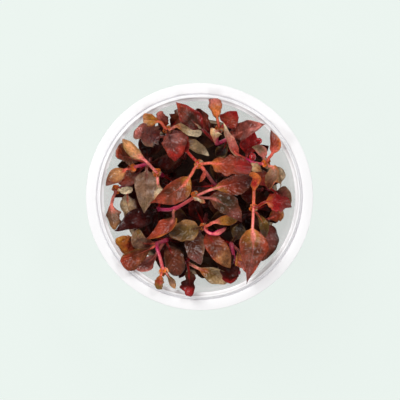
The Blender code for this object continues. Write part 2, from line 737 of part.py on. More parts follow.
def make_leaves(stems, placed, collection, cutters):
    """Every leaf of the tables, fused ones last, from the top down, each clear of those before."""
    waiting = [(shoot, leaf) for shoot in SHOOTS for leaf in shoot.leaves]
    waiting.sort(key=lambda entry: (entry[1].fused, -max(entry[1].middle[2], entry[1].tip[2])))
    joins = []
    for shoot, leaf in waiting:
        stem = stems[shoot.name]
        own = {f"leaf_{small.name}" for small in shoot.leaves if small.fused} | {stem.name}
        others = [tree for name, tree in placed.items() if not (leaf.fused and name in own)]
        fitted, start, lift = room_for(shoot, leaf, others)
        item = make_leaf(fitted, start, lift, collection)
        bpy.context.view_layer.update()
        placed[item.name] = tree_of(item)
        if leaf.fused:
            joins.append((stem, item))
    for stem, item in joins:
        join_to(stem, item, cutters)


def make_whorls(stems, placed, collection, cutters):
    """The whorls of short leaves lower on the stems."""
    joins = []
    for tier in range(len(WHORLS)):
        for number, shoot in enumerate(SHOOTS):
            if number % (tier + 1):
                continue
            stem = stems[shoot.name]
            others = [tree for name, tree in placed.items() if name != stem.name]
            item = make_whorl(shoot, number, tier, others, collection)
            bpy.context.view_layer.update()
            placed[item.name] = tree_of(item)
            joins.append((stem, item))
    for stem, item in joins:
        join_to(stem, item, cutters)


def main():
    """Builds the cup, the gel and the stems, and then the leaves and whorls they carry."""
    clear_scene()
    collection = new_collection(OBJECT_NAME)
    cutters = new_collection("cutters")
    cup = make_cup(collection)
    gel = make_gel(collection, cutters)
    stems = {shoot.name: make_stem(shoot, collection) for shoot in SHOOTS}
    bpy.context.view_layer.update()
    placed = {item.name: tree_of(item) for item in (cup, gel, *stems.values())}
    make_leaves(stems, placed, collection, cutters)
    for number, (low, high) in enumerate(OPEN_SPACES):
        placed[f"open_space_{number}"] = box_tree(low, high)
    make_whorls(stems, placed, collection, cutters)


main()
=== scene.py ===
import math
import random
from typing import NamedTuple

import bpy
from bpy.props import FloatProperty, FloatVectorProperty, IntProperty, PointerProperty
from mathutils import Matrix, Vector, kdtree, noise


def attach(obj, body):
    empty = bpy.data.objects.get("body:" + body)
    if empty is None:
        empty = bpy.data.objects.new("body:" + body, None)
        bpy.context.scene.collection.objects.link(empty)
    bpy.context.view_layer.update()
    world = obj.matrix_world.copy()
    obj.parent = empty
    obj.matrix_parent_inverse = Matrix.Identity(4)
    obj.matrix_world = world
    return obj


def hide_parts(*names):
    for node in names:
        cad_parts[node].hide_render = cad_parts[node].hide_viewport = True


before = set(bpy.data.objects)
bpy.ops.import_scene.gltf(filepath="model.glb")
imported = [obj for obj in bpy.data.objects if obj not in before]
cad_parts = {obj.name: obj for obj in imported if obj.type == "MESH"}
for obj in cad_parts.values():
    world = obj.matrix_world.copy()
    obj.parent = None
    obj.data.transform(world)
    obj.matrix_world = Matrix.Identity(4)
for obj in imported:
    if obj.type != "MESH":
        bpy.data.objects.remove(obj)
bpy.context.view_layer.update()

bl_info = {
    "name": "Alternanthera culture cup",
    "version": (1, 0, 0),
    "blender": (4, 5, 0),
    "location": "3D View > Sidebar > Culture Cup",
    "description": "Builds an open culture cup crammed with Alternanthera reineckii plantlets",
    "category": "Add Mesh",
}

# The tables are in millimetres, +Z is up, and the origin is the middle of the cup's base.
MM = 0.001
BODY = "root"

# Modelling
WELD = 0.00001  # distance in metres below which points are joined
SMOOTH_ANGLE = 40.0

# Cup
LIP_DROP = 2.4
LIP_THICKNESS = 0.9
FLANGE_THICKNESS = 1.1
GROOVE_RADIUS = 42.9
GROOVE_WIDTH = 1.0
GROOVE_DEPTH = 0.6
BEAD_HEIGHT = 0.7
BEAD_WIDTH = 1.3
BEAD_DRAFT = 0.3  # how far the bead's sides lean in
DRAFT = 0.2  # how far the sides of the groove and of the lip lean in
MOUTH_RADIUS = 39.9
MOUTH_EDGE = 0.6  # height of the slope between the mouth and the bead
NECK = 0.4
SHOULDER = 0.3  # how far the wall stands out where it meets the flange
STEP_HEIGHT = 49.8
STEP_WIDTH = 0.7
STEP_OUTSIDE = (0.5, -1.2)  # the step's ends on the outside, above STEP_HEIGHT
BASE_RADIUS = 35.4
BASE_ROUND = 2.2
BASE_CORNER = 0.3  # share of BASE_ROUND at which the base's outer corner is cut
BASE_FLARE = 0.15
FLOOR = 1.3
GAP = 0.3
EDGE_SEGMENTS = 3
# Rings of painted shade, along which the plastic is painted grey where it bends, as it looks from above:
# radius, half width and strength
PAINTED_SHADE_RINGS = ((42.95, 0.5, 0.6), (39.75, 0.5, 0.6), (38.6, 0.3, 0.3))
PLASTIC_IOR = 1.46
HAZE_SHADE = 0.96
MIST_COLOUR = (0.3, 0.28, 0.29)

# Gel
GEL_IOR = 1.34
MENISCUS_HEIGHT = 0.9
MENISCUS = ((2.0, 0.0), (0.8, 0.2), (0.25, 0.55), (0.0, 1.0))  # distance from the edge, share of the height
GEL_STEPS = 96
# inside these radii the gel is painted near black, painted shade under the leaves; outside them it has its
# own pale tint
GEL_EDGE = (32.5, 34.5)  # radii between which the gel turns pale

# Stems
STEM_WIDTH = 0.9  # at the foot, as a share of the stem's full radius
STEM_TAPER = 0.25
STEM_UPRIGHT = 2.5
STEM_RING_STEP = 0.9
STEM_SEGMENTS = 3
STEM_TOP = 0.075  # height in metres at which STEM_STOPS reach 1
STEM_STOPS = (0.2, 0.55, 0.72, 0.9)
STEM_STRAY = 0.012
END_LENGTH = 1.0  # length over which a stem narrows to its bud
END_NARROWING = 0.55
NODE_REACH = 1.3
NODE_SWELL = 0.28
NODE_SAMPLES = 120
ROUTE_SAMPLES = 200

# Leaves
PETIOLE_PART = 0.2  # share of a leaf's rows that stand in its petiole
PETIOLE_WIDTH = 1.7
TIP_WIDTH = 0.5
PETIOLE_STARTS = (1.6, 2.1, 2.7, 3.4)
LIFT_STEP = 0.5
LIFT_LIMIT = 8.0
LARGEST_MISS = 12.0  # sum of the distances between a leaf's corners and the CAD model's
NARROWINGS = (1.0, 0.86, 0.72)
FUSED_STARTS = (0.0, 1.2, 2.4, 3.6, 4.8)
LEAF_ROWS = 40
LEAF_COLUMNS = 12
LOWER_LEAF_ROWS = 18
LOWER_LEAF_COLUMNS = 8
COLUMN_CROWDING = 1.3  # above 1, columns stand closer together near the midrib
FRILL = 0.22  # how far a margin strays from its smooth outline, as a share of the half width
FRILLS = 4.0  # how often it strays along a blade
BUCKLE = 1.1  # how far a broad blade's surface strays up and down
BUCKLES = 0.26  # how often it does so in a millimetre
RIB_WIDTH = 0.55  # half width of the midrib's keel
WIDE_LEAF = 7.0
ROWS_OF_WIDE = (0.0, 0.25, 0.52, 0.8, 1.0)  # shares of the blade's length at the CAD leaf's sections
ROWS_OF_NARROW = (0.0, 0.3, 0.68, 1.0)
ROWS_OF_FUSED = (0.0, 0.4, 1.0)
FULL_LIFT = 0.6  # share of the length from which a leaf has its whole lift
HALF_STEPS = 6  # straight parts that make up one curled half of a cross section
USUAL_WIDTH = 9.0  # a leaf this wide has ripples and buckles of full size
LARGEST_SIZE = 1.2
WAVES = (1.6, 2.6)  # ripples along a margin
WAVE_SHIFT = 1.3  # radians between the ripples of the two margins
RIPPLES = (0.7, 1.2)  # shares of the ripple setting between which leaves vary
LEAN_STRAY = 0.08
FOLD_STRAY = 9  # degrees
CURL_STRAY = 0.3
SICKLE_STRAY = 0.5
TWIST_STRAY = 12  # degrees
LEAST_HALF = 0.06
FLATTENS = (0.06, 0.16)  # how far before the blade a petiole begins to flatten, and over what length
PETIOLE_THINS = 0.3
MARGIN_THINS = 0.6
RIB_SINKS = 0.25
KEEL_DROP = 0.4  # how far the keel is lowered, as a share of its depth

# Whorls of short leaves lower on the stems: height, and how many leaves stand round the stem
WHORLS = ((41.0, 4), (28.0, 2))
WHORL_TURN = 37.0
TIER_TURN = 45
TIP_MISS = 0.1
WHORL_SHIFTS = (0.0, 1.5, -1.5, 3.0, -3.0, 4.5, -4.5, 6.0, -6.0)
WHORL_REACHES = (13.0, 12.0, 11.0, 10.0, 9.0, 8.0, 7.0, 6.0, 5.0)
WHORL_WIDTH = 0.5
WHORL_BELOW_CROWN = 4.0
PLATE_THICKNESS = 0.45
LOWER_PETIOLE = 0.16
LOWER_FOLD = 3.0
LOWER_GLOSS = 0.08
# the lower leaves take the darkest paints, painted shade for the depth among the stems
LOWER_LOOKS = (
    "shade shade maroon maroon maroon",
    "shade dark_brown shade dark_olive maroon",
    "maroon shade maroon maroon crimson",
    "shade maroon dark_brown dark_brown maroon",
)

# Bracts and buds
BRACTS = 6  # in a crown
BRACT_LENGTH = 2.8
BRACT_WIDTH = 1.8
BRACT_LENGTHS = (0.8, 1.15)  # shares of BRACT_LENGTH between which the scales vary
BRACT_SPREAD = 0.5  # how far a scale's foot stands from the stem's axis, and its tip from its foot
BRACT_BULGE = 0.45
BRACT_PETIOLE = 0.1
BRACT_FOLD = 4.0
BRACT_ENDS = (0.7, 0.8)
BRACT_ROWS = 10
BRACT_COLUMNS = 5
BRACT_LOOKS = (
    "flame flame amber orange coral",
    "pink cream tan flame coral",
    "coral flame orange flame pink",
)
BRACTLESS = "qrsx"  # shoots whose crowns lie too deep to show bracts
NO_CROWN_WAY = (0.3, 0.2, 1.0)  # a direction in which no crown points
RED_BUDS = (  # shoot, place and radius
    ("w", (25.2, 23.6, 50.0), 1.25),
    ("w", (22.4, 16.8, 49.4), 1.55),
    ("u", (15.8, 33.2, 53.0), 0.75),
)
BUD_SHAPE = (1.0, 1.12, 0.9)
BUD_SEGMENTS = 24
BUD_RINGS = 16

# Paint of the leaves, in shares of a leaf's length, of its half width and of full strength
NOISE_RANGE = (0.3, 0.7)  # most values of a noise lie between these
FINE_DETAIL = 3.0
LEAF_PATCHES = 210.0  # patches of shade in a metre
LEAF_GRAINS = 1300.0
PAINT_STOPS = (0.26, 0.5, 0.64, 0.9)  # foot, the middle's two ends, tip
PAINT_STRAY = 0.5
MARGIN_STRAY = 0.7
MARGIN_REACH = (0.35, 1.0)
MARGIN_CHANGE = (0.4, 0.6)  # across the leaf, where its right margin's strength turns into its left one's
BLADE_START = (-0.03, 0.06)  # beyond PETIOLE_PART
VEINS = 9.0
VEIN_SLANT = -2.4
VEIN_STRAY = 1.6
VEIN_WIDTH = 0.28
VEIN_STRENGTH = 0.05
RIB_NARROWS = (0.55, 0.55, 0.07)  # where it is narrowest, and its width at its foot and there
RIB_FADES = (0.62, 0.95, 0.18)  # where it is faintest, and its strength at its foot and there
STALK_EDGE = 0.35
GRAIN_SHADES = (0.9, 1.4)
PATCH_SHADES = (0.35, 0.65, 0.76, 1.24)
UNDERSIDE = 0.55
ROUGHNESS_SPREAD = (-0.1, 0.14)
LEAF_SPECULAR = 0.4
COAT_ROUGHNESS = 0.09
BUMPS = {"veins": 0.26, "grain": 0.35, "patch": 3.0, "midrib": -0.3}
BUMP_HEIGHT = 0.0003
BUMP_WHEN_DRY = 0.6  # the gloss is added to it, so wet leaves look more crumpled

# Camera and light
STAGE_SIZE = 6.0
CAMERA_PLACE = (0.0002, -0.0014, 0.606)
CLIP_START = 0.01
SEEN_HALF_WIDTH = 83.6  # half the photograph's width at the flange, which lies RIM_DISTANCE away
RIM_DISTANCE = 550.0
RING_LIGHTS = 5
RING_START = 128.0  # direction of the key light, in degrees from +X
RING_RADIUS = 0.9
RING_HEIGHT = 1.08
RING_SIZE = 0.25
KEY_SIZE = 0.9


class Leaf(NamedTuple):
    """A leaf, from the node of its stem over the middle of its midrib to its tip."""

    name: str
    node: int
    middle: tuple
    tip: tuple
    width: float
    slot: str
    looks: str  # paints of its foot, middle, tip, margin and midrib
    petiole: float = 0.22
    roll: float = 0.0
    fold: float = 14.0
    fused: bool = False
    ends: tuple = (1.3, 1.15)  # how sharply the blade narrows to its foot and to its tip
    lean: float = 0.0  # share by which the left half is the wider one
    curl: tuple = (0.5, 0.5)  # how far the left and right margins turn up, in radians
    twist: float = 0.0  # degrees by which the tip turns about the midrib
    sickle: float = 0.0  # how far the blade bows to its left
    edges: tuple = (0.85, 0.45)  # strength of the margin's paint on the left and on the right
    trim: float = 1.0  # share of the width that the blade keeps
    frill: float = 1.0  # how ragged its margins are, against an even leaf's
    wet: float = 1.0  # strength of its wet film, against an even leaf's


class Shoot(NamedTuple):
    """One stem's route from the gel to its crown, with the leaves it carries."""

    name: str
    route: tuple
    leaves: tuple


SHOOTS = (
    Shoot("a", ((9, 3, 5), (8.5, 4, 28), (6, 5.5, 50), (3, 9.5, 58.5), (-0.3, 13.5, 63.5)), (
        Leaf("a1", 4, (9.5, 13.5, 70), (21.5, 12, 65), 8.4, "orange",
             "orange red_brown crimson brown coral", roll=-14, fold=16,
             ends=(1.1, 0.8), lean=-0.2, curl=(1.5, 0.3), twist=-30, edges=(0.6, 0.5), trim=1.3, frill=2.0),
        Leaf("a2", 4, (-8, 4.5, 69), (-21.5, -3, 60), 10.6, "orange",
             "amber brown red_brown red_brown coral", 0.25, fold=10,
             ends=(1.1, 1.6), lean=0.15, curl=(0.5, 0.9), sickle=0.6, edges=(0.3, 0.8)),
        Leaf("a3", 4, (-6, 20, 60), (-11, 28, 54), 9.4, "red_brown",
             "crimson crimson mauve red_brown scarlet", 0.35, roll=10),
        Leaf("a4", 4, (2, 10, 62), (0, 6, 57), 1.8, "orange",
             "coral coral orange coral coral", 0.4, fused=True),
    )),
    Shoot("b", ((-13, 22, 5), (-14, 24, 25), (-13.5, 26.5, 43), (-13.5, 28, 56)), (
        Leaf("b1", 3, (-7.5, 29, 59), (0.5, 26, 55), 5.6, "beige",
             "orange beige cream grey_olive rose", roll=10, fold=8,
             ends=(1.3, 0.5), lean=0.2, curl=(0.1, 0.6), edges=(0.9, 0.2), trim=1.15),
        Leaf("b2", 3, (-17.5, 31.5, 60), (-23.5, 32, 58), 5.4, "olive",
             "orange amber tan red_brown coral", 0.4, roll=-25,
             ends=(1.2, 0.4), curl=(0.9, 0.2), trim=1.2),
        Leaf("b3", 3, (-11.5, 22, 62.5), (-10.5, 14.8, 56), 11.0, "crimson",
             "mauve mauve scarlet red_brown maroon", 0.12, fold=8,
             ends=(0.5, 0.8), lean=0.3, curl=(-0.7, -0.5), edges=(0.3, 0.6), wet=1.2),
        Leaf("b4", 2, (-4, 21, 47), (4, 17.5, 45), 4.8, "beige",
             "brown beige cream beige rose", ends=(0.7, 0.8), lean=0.5, curl=(0.2, 1.2), edges=(0.1, 0.8)),
        # b5's pale pink tip is partly painted highlight for its wet glints
        Leaf("b5", 3, (-15.5, 32, 55), (-17.5, 35.2, 57), 3.6, "maroon",
             "red_brown mauve rose maroon crimson", fused=True, ends=(0.6, 0.5), trim=1.7, frill=2.5),
        Leaf("b6", 3, (-9.5, 32, 54), (-6.5, 36.5, 57), 4.8, "maroon",
             "maroon brown taupe maroon crimson", fused=True, ends=(0.6, 0.5), trim=1.3, frill=2.0),
        Leaf("b7", 2, (-21, 26, 54), (-26, 28.5, 58), 6.4, "red_brown",
             "crimson mauve rose taupe rose", fused=True,
             ends=(0.6, 0.5), curl=(1.3, 0.9), trim=1.9, frill=2.5, wet=2.5),
    )),
    Shoot("c", ((-16, -2, 5), (-18, -4.5, 25), (-17.5, -5.3, 42), (-10.5, -5, 52), (-1.5, 0.3, 60.5)), (
        Leaf("c1", 4, (9.5, 4.5, 64.5), (22, 7.5, 60), 10.6, "red_brown",
             "amber red_brown maroon brown pink", 0.3, roll=8,
             ends=(1.4, 0.85), lean=-0.15, curl=(0.4, 1.0), twist=14, edges=(0.5, 0.8), wet=1.5),
        Leaf("c2", 4, (9.5, -2.7, 60), (17.5, -10.5, 56), 10.0, "red_brown",
             "brown dark_olive mauve brown rose", 0.15, roll=-6,
             ends=(1.0, 1.1), lean=0.2, curl=(0.7, 0.3), edges=(0.9, 0.3), frill=1.6),
        Leaf("c3", 4, (-0.2, -1.3, 63), (2.4, -2.6, 63), 1.8, "tan",
             "cream tan coral coral cream", 0.5, fused=True),
        Leaf("c4", 3, (-13, -12.8, 58), (-22.5, -18, 53), 6.4, "orange",
             "brown red_brown red_brown amber rose", 0.15, roll=18,
             ends=(0.8, 1.2), curl=(1.3, 0.6), twist=-20, sickle=-0.8, edges=(0.9, 0.0), trim=1.3),
        Leaf("c5", 2, (-26, -10, 50), (-35.5, -14.5, 57), 8.6, "maroon",
             "shade maroon maroon shade maroon", 0.1,
             ends=(1.1, 1.2), curl=(0.9, 0.4), twist=20, trim=1.15),
    )),
    Shoot("d", ((22, -8, 5), (23, -7, 25), (23, -6, 42), (22.8, -5.2, 51), (22.5, -4.6, 58)), (
        Leaf("d1", 4, (21.3, -19, 65), (19.5, -36.5, 59.5), 12.0, "orange",
             "amber brown mauve red_brown pink", 0.28, fold=8,
             ends=(0.9, 1.7), curl=(0.3, 0.6), twist=24, sickle=0.5),
        Leaf("d2", 4, (22.5, 3, 61), (22.3, 10.5, 56), 5.4, "crimson",
             "flame scarlet orange orange coral", 0.45, fold=20, ends=(1.3, 0.8), edges=(0.9, 0.9)),
        Leaf("d3", 4, (30, -2, 61), (38.3, -4.5, 58), 7.8, "crimson",
             "orange crimson mauve crimson crimson", 0.32, roll=-10,
             ends=(0.9, 1.2), curl=(1.4, 0.5), twist=-24, trim=1.15, frill=3.0),
        Leaf("d5", 3, (26, -10.5, 54), (27.5, -17.5, 48), 3.8, "olive",
             "olive olive dark_olive olive coral", fused=True),
    )),
    Shoot("f", ((-14, 8, 5), (-15, 9, 30), (-17, 9.5, 48), (-17.8, 10, 58.5)), (
        Leaf("f1", 3, (-24, 16.5, 63), (-32, 24, 59), 6.4, "tan",
             "pink tan tan olive pink", 0.36, roll=-8,
             ends=(1.3, 1.0), lean=0.15, curl=(0.3, 0.7), edges=(0.9, 0.5), trim=0.84),
        Leaf("f2", 3, (-17, 4, 57.5), (-15.5, -1.5, 52), 5.4, "beige",
             "tan cream tan tan pink", 0.35, roll=10, ends=(1.4, 0.4), trim=1.3),
    )),
    Shoot("g", ((-22, 17, 5), (-22, 16, 28), (-22.5, 14, 46), (-28.5, 12.2, 51.5)), (
        Leaf("g1", 3, (-33, 10, 56), (-39, 4.5, 58), 5.6, "tan",
             "coral tan brown brown coral", 0.2, roll=10, ends=(1.3, 0.9), curl=(0.8, 0.5), trim=1.1),
        Leaf("g2", 2, (-22.5, 4.5, 52), (-23.5, -7, 49), 10.0, "olive",
             "taupe taupe grey_olive taupe mauve", 0.08, fold=9, ends=(0.9, 1.1), curl=(0.5, 0.3)),
        Leaf("g3", 2, (-28.5, 9, 46), (-35, 6, 43), 6.6, "mauve",
             "mauve brown red_brown mauve crimson", 0.12, trim=1.15, frill=1.6),
        Leaf("g4", 3, (-29.5, 15, 54.5), (-29, 18, 53), 3.8, "tan",
             "brown taupe tan brown coral", fused=True, ends=(0.6, 0.5), curl=(1.0, 0.6), trim=1.2),
        Leaf("g5", 2, (-30, 16.5, 53), (-35, 17, 57.5), 6.0, "red_brown",
             "brown brown red_brown grey_olive coral", fused=True,
             ends=(0.6, 0.35), curl=(1.2, 0.4), twist=30, trim=1.4, frill=2.5),
    )),
    Shoot("h", ((-30, 3, 5), (-30.5, 4, 24), (-31, 5, 38), (-35.5, 3, 46.5)), (
        Leaf("h1", 3, (-37, -5, 52), (-35.5, -14, 52), 5.4, "orange",
             "coral taupe tan brown rose", 0.4, roll=-28, ends=(0.9, 0.7), curl=(0.2, 0.9), trim=1.4,
             frill=1.8),
        Leaf("h2", 2, (-30.5, -2.5, 44), (-28, -8, 44), 5.6, "olive",
             "cream beige brown maroon coral", 0.3, fused=True, ends=(0.7, 0.6), trim=1.3),
        Leaf("h3", 3, (-32, 2.6, 48), (-28.5, 3.5, 47), 2.8, "beige",
             "cream cream cream cream cream", fused=True, ends=(0.6, 0.5), trim=1.3),
    )),
    Shoot("k", ((-12, -17, 5), (-13, -18, 25), (-14.5, -18.8, 42), (-18, -20.3, 49),
                (-16.5, -26, 53), (-15, -31.3, 56.5)), (
        Leaf("k1", 3, (-25, -24, 57), (-33, -26.5, 59.5), 9.6, "orange",
             "brown brown red_brown olive coral", 0.1, roll=-10,
             ends=(1.9, 0.7), lean=0.2, curl=(0.3, 0.9), twist=-12, edges=(0.2, 0.8), frill=1.4),
        Leaf("k2", 2, (-11.5, -25.5, 48), (-9.5, -34, 45), 9.8, "olive",
             "dark_brown brown brown dark_olive crimson", 0.1, fold=9,
             ends=(0.9, 0.65), curl=(0.8, 0.5), edges=(0.6, 0.6), wet=1.1),
        Leaf("k3", 5, (-16.3, -34.5, 59.5), (-16.5, -38.5, 59.5), 3.0, "olive",
             "orange red_brown olive olive coral", 0.3, fused=True, ends=(0.8, 0.6), trim=1.3, frill=2.0),
        Leaf("k4", 5, (-12, -34.5, 59), (-10.2, -38.3, 59.5), 2.8, "tan",
             "olive taupe tan olive rose", 0.3, fused=True),
        Leaf("k5", 2, (-27, -21, 50), (-35, -17.5, 56), 6.4, "olive",
             "olive red_brown amber brown coral", fused=True, ends=(0.8, 0.6), trim=1.4, frill=1.8),
        Leaf("k6", 2, (-24, -19.5, 50), (-25.5, -13.5, 53), 5.4, "olive",
             "brown taupe olive taupe coral", fused=True, ends=(0.8, 0.7), trim=1.3),
        Leaf("k7", 2, (-22, -27.5, 48), (-28.5, -26.5, 50), 6.6, "mauve",
             "mauve mauve red_brown rose rose", 0.2),
    )),
    Shoot("n", ((3, -8, 5), (2.5, -10, 28), (2, -12.5, 45), (1.8, -12.8, 51.5)), (
        Leaf("n1", 3, (-5, -13.8, 54.5), (-13.2, -15, 50), 9.6, "olive",
             "olive olive dark_olive tan dark_brown", 0.1, fold=9,
             ends=(0.6, 0.6), curl=(0.9, 0.6), edges=(0.3, 0.7), wet=1.4),
        Leaf("n2", 2, (-2.5, -20, 49), (0.5, -29, 46), 10.8, "mauve",
             "dark_brown brown mauve taupe mauve", 0.1, fold=9,
             ends=(0.8, 0.9), lean=0.15, curl=(1.1, 0.4), edges=(0.9, 0.2), wet=2.2),
        Leaf("n3", 2, (6.5, -21, 54), (13, -30, 48), 9.0, "orange",
             "red_brown brown tan red_brown crimson", 0.12,
             ends=(0.9, 0.9), curl=(0.2, 0.8), edges=(0.3, 0.6)),
        Leaf("n4", 3, (7.5, -10.4, 55.5), (16.2, -9.5, 51), 3.8, "tan",
             "pink amber olive orange coral", 0.38, ends=(1.0, 0.6), trim=1.2),
        Leaf("n5", 3, (5.5, -15.5, 55), (11.5, -12.8, 52), 2.4, "crimson",
             "magenta pink rose magenta pink", 0.45, fused=True),
    )),
    Shoot("q", ((-4, -25, 5), (-5, -27, 25), (-5.2, -28.3, 42)), (
        Leaf("q1", 2, (3, -32, 48), (12, -35.5, 47), 7.6, "olive",
             "orange olive beige beige rose", 0.28, ends=(1.1, 0.55), curl=(1.0, 0.2), edges=(0.8, 0.1),
             wet=2.2),
        Leaf("q2", 2, (-4, -35.5, 56), (-4, -41.5, 60), 5.6, "crimson",
             "dark_olive maroon crimson dark_brown crimson", 0.2,
             ends=(0.6, 0.35), curl=(0.3, 1.3), twist=40, edges=(0.3, 0.3), trim=1.2, frill=3.0),
    )),
    Shoot("r", ((25, -12, 5), (27, -11.5, 24), (28.5, -10, 40.5)), (
        Leaf("r1", 2, (28.8, -17.5, 50), (26.5, -27, 50), 9.2, "maroon",
             "mauve mauve brown dark_brown crimson", 0.1, roll=6, ends=(0.9, 0.9), frill=1.5),
        Leaf("r2", 2, (33, -8, 46), (36, -7, 49), 4.2, "olive",
             "red_brown red_brown tan olive coral", fused=True, ends=(0.7, 0.6), trim=1.6, frill=2.0),
    )),
    Shoot("s", ((25, 3, 5), (27.5, 3, 24), (30, 3.8, 42)), (
        Leaf("s1", 2, (34.5, 0.3, 50), (38.2, -2.7, 56), 7.0, "mauve",
             "dark_brown mauve grey_olive taupe crimson", ends=(0.8, 0.7), trim=1.25),
        Leaf("s2", 2, (33.2, 8, 50), (36.5, 9, 54), 6.0, "tan",
             "orange beige cream taupe coral", ends=(0.8, 0.6), trim=1.3, frill=2.0),
        Leaf("s4", 2, (27, 7, 47), (26.5, 11.5, 46), 7.0, "red_brown",
             "crimson red_brown brown red_brown crimson", fused=True),
    )),
    Shoot("u", ((9, 21, 5), (10.5, 22.5, 26), (11.5, 24.3, 44), (7.2, 22.8, 48), (8.3, 28.5, 54.5)), (
        Leaf("u1", 3, (-1.2, 30.2, 58.5), (-9.8, 39.3, 60), 9.0, "red_brown",
             "maroon dark_brown red_brown crimson crimson", 0.34, roll=-10,
             ends=(1.2, 1.35), lean=-0.2, curl=(0.3, 0.5), edges=(0.3, 0.8), trim=0.92),
        Leaf("u2", 4, (7, 34.5, 61), (6, 40.8, 60), 5.8, "tan",
             "amber orange rose brown coral", 0.26, fold=10,
             ends=(1.3, 0.45), curl=(0.8, 0.5), edges=(0.8, 0.6), frill=1.8),
        Leaf("u3", 4, (6.6, 26, 58), (6.5, 22, 55), 5.2, "beige",
             "cream beige rose tan rose", 0.1, ends=(0.25, 1.2), curl=(-0.2, -0.4), edges=(0.2, 0.9)),
        Leaf("u4", 2, (19, 28, 58), (27.5, 30.3, 59), 9.0, "red_brown",
             "red_brown mauve rose mauve rose", 0.1, roll=-8,
             ends=(0.8, 1.35), curl=(0.6, 0.2), edges=(0.0, 1.0), trim=0.88),
        Leaf("u5", 4, (12, 31.5, 55), (15.5, 35.5, 57.5), 6.8, "crimson",
             "crimson red_brown crimson crimson scarlet", 0.2, ends=(0.8, 0.9), trim=1.3),
        Leaf("u6", 2, (10, 20.5, 46), (7, 17.5, 43), 5.4, "maroon",
             "dark_olive shade shade olive crimson", fused=True),
        Leaf("u7", 3, (2, 31, 53), (-1, 37, 57), 5.0, "maroon",
             "maroon red_brown maroon brown crimson", fused=True, ends=(0.7, 0.5), trim=1.3, wet=2.2),
    )),
    Shoot("w", ((18, 12, 5), (19, 14, 26), (19.8, 15.7, 46), (24, 13.8, 50.5), (28, 14, 55)), (
        Leaf("w1", 4, (30.5, 20, 61.5), (29.5, 27.8, 61), 5.4, "orange",
             "coral red_brown mauve orange coral", 0.3, roll=14,
             ends=(1.1, 1.3), lean=-0.3, curl=(0.9, 0.2), edges=(0.0, 0.8)),
        Leaf("w2", 4, (31, 10.5, 58), (29, 3.5, 54), 4.4, "tan",
             "orange taupe brown tan rose", 0.2, roll=10,
             ends=(0.7, 0.5), curl=(1.4, 0.8), twist=35, trim=1.4, frill=2.0),
        Leaf("w3", 2, (13, 21, 56), (9.8, 31, 57), 5.2, "crimson",
             "scarlet rose cream beige coral", 0.2, roll=30, fold=24,
             ends=(0.8, 1.1), curl=(0.6, 1.0), edges=(0.9, 0.1), trim=1.2),
        Leaf("w4", 2, (21, 21.5, 46), (23, 28.5, 46), 9.0, "crimson",
             "crimson crimson crimson scarlet scarlet", 0.1),
        Leaf("w5", 3, (23, 13, 54), (26.5, 10.5, 52), 4.6, "beige",
             "beige beige tan taupe rose", 0.1),
        Leaf("w6", 4, (26, 19, 55), (22, 20.8, 53), 3.4, "mauve",
             "rose taupe beige rose rose", fused=True, ends=(0.6, 1.1), trim=1.3),
    )),
    Shoot("x", ((12, -22, 5), (13, -21, 24), (13.7, -20.5, 40), (15, -27, 42), (17, -33, 45.5)), (
        Leaf("x1", 4, (16.5, -28.5, 51), (16.2, -23, 50), 3.4, "orange",
             "coral orange brown amber pink", 0.15, fused=True),
        Leaf("x2", 2, (18.5, -25.5, 50), (19.5, -32, 51), 6.0, "mauve",
             "mauve mauve red_brown rose rose", fused=True),
        Leaf("x4", 2, (16, -16, 44), (17.5, -11.5, 44), 6.4, "olive",
             "dark_olive dark_olive shade olive maroon", fused=True),
        Leaf("x5", 3, (13, -32, 51), (13, -36.5, 57), 5.4, "crimson",
             "maroon maroon crimson maroon maroon", fused=True, ends=(0.6, 0.5), trim=1.5, frill=1.6),
    )),
)


def linear(channel):
    """A screen colour's channel, from 0 to 1, as linear light."""
    return channel / 12.92 if channel <= 0.04045 else ((channel + 0.055) / 1.055) ** 2.4


def colour_property(name, description, red, green, blue):
    """A colour setting whose default is given as screen values from 0 to 255."""
    return FloatVectorProperty(
        name=name,
        description=description,
        subtype="COLOR",
        size=3,
        min=0.0,
        max=1.0,
        default=tuple(linear(channel / 255) for channel in (red, green, blue)),
    )


def length_property(name, description, millimetres):
    """A length setting."""
    return FloatProperty(
        name=name, description=description, default=millimetres * MM, min=0.0, precision=5, unit="LENGTH"
    )


def share_property(name, description, default):
    """A setting from 0 to 1."""
    return FloatProperty(
        name=name, description=description, default=default, min=0.0, max=1.0, subtype="FACTOR"
    )


class CupSettings(bpy.types.PropertyGroup):
    """Sizes and finish of the moulded cup and its gel."""

    flange_radius: length_property("Flange radius", "Outer radius of the flange round the mouth", 47.5)
    rim_height: length_property("Rim height", "Height of the flange's top above the table", 56.0)
    wall: length_property("Wall", "Thickness of the tapered wall", 1.1)
    gel_top: length_property("Gel top", "Height of the gel's surface", 12.5)
    edge_round: length_property("Edge rounding", "Radius of the moulded edges", 0.25)
    steps: IntProperty(name="Steps", description="Faces round the cup", default=128, min=24, max=256)
    # partly painted light: the flange is the cup's one plastic, milkier where it is thicker, painted near
    # white and almost opaque for the light it catches from above
    milky: colour_property("Flange colour", "Colour of the thick milky flange", 255, 254, 255)
    clear: colour_property("Wall colour", "Tint of the clear wall", 255, 224, 238)
    # painted shade: the grey that the rings along the plastic's bends are painted with
    edge: colour_property("Edge colour", "Grey of the edges where the plastic bends", 176, 172, 180)
    # painted shade: near-black gel under the leaves, standing for the shade there; the gel edge colour is
    # its own tint
    gel: colour_property("Gel colour", "Tint of the set gel among the roots", 34, 12, 8)
    gel_edge: colour_property("Gel edge colour", "Tint of the set gel along the wall", 206, 182, 150)
    flange_clearness: share_property("Flange clearness", "How far light passes the flange", 0.05)
    flange_roughness: share_property("Flange roughness", "How far the flange blurs its reflections", 0.28)
    wall_clearness: share_property("Wall clearness", "How far light passes the wall", 0.78)
    wall_roughness: share_property("Wall roughness", "How far the wall blurs its reflections", 0.3)


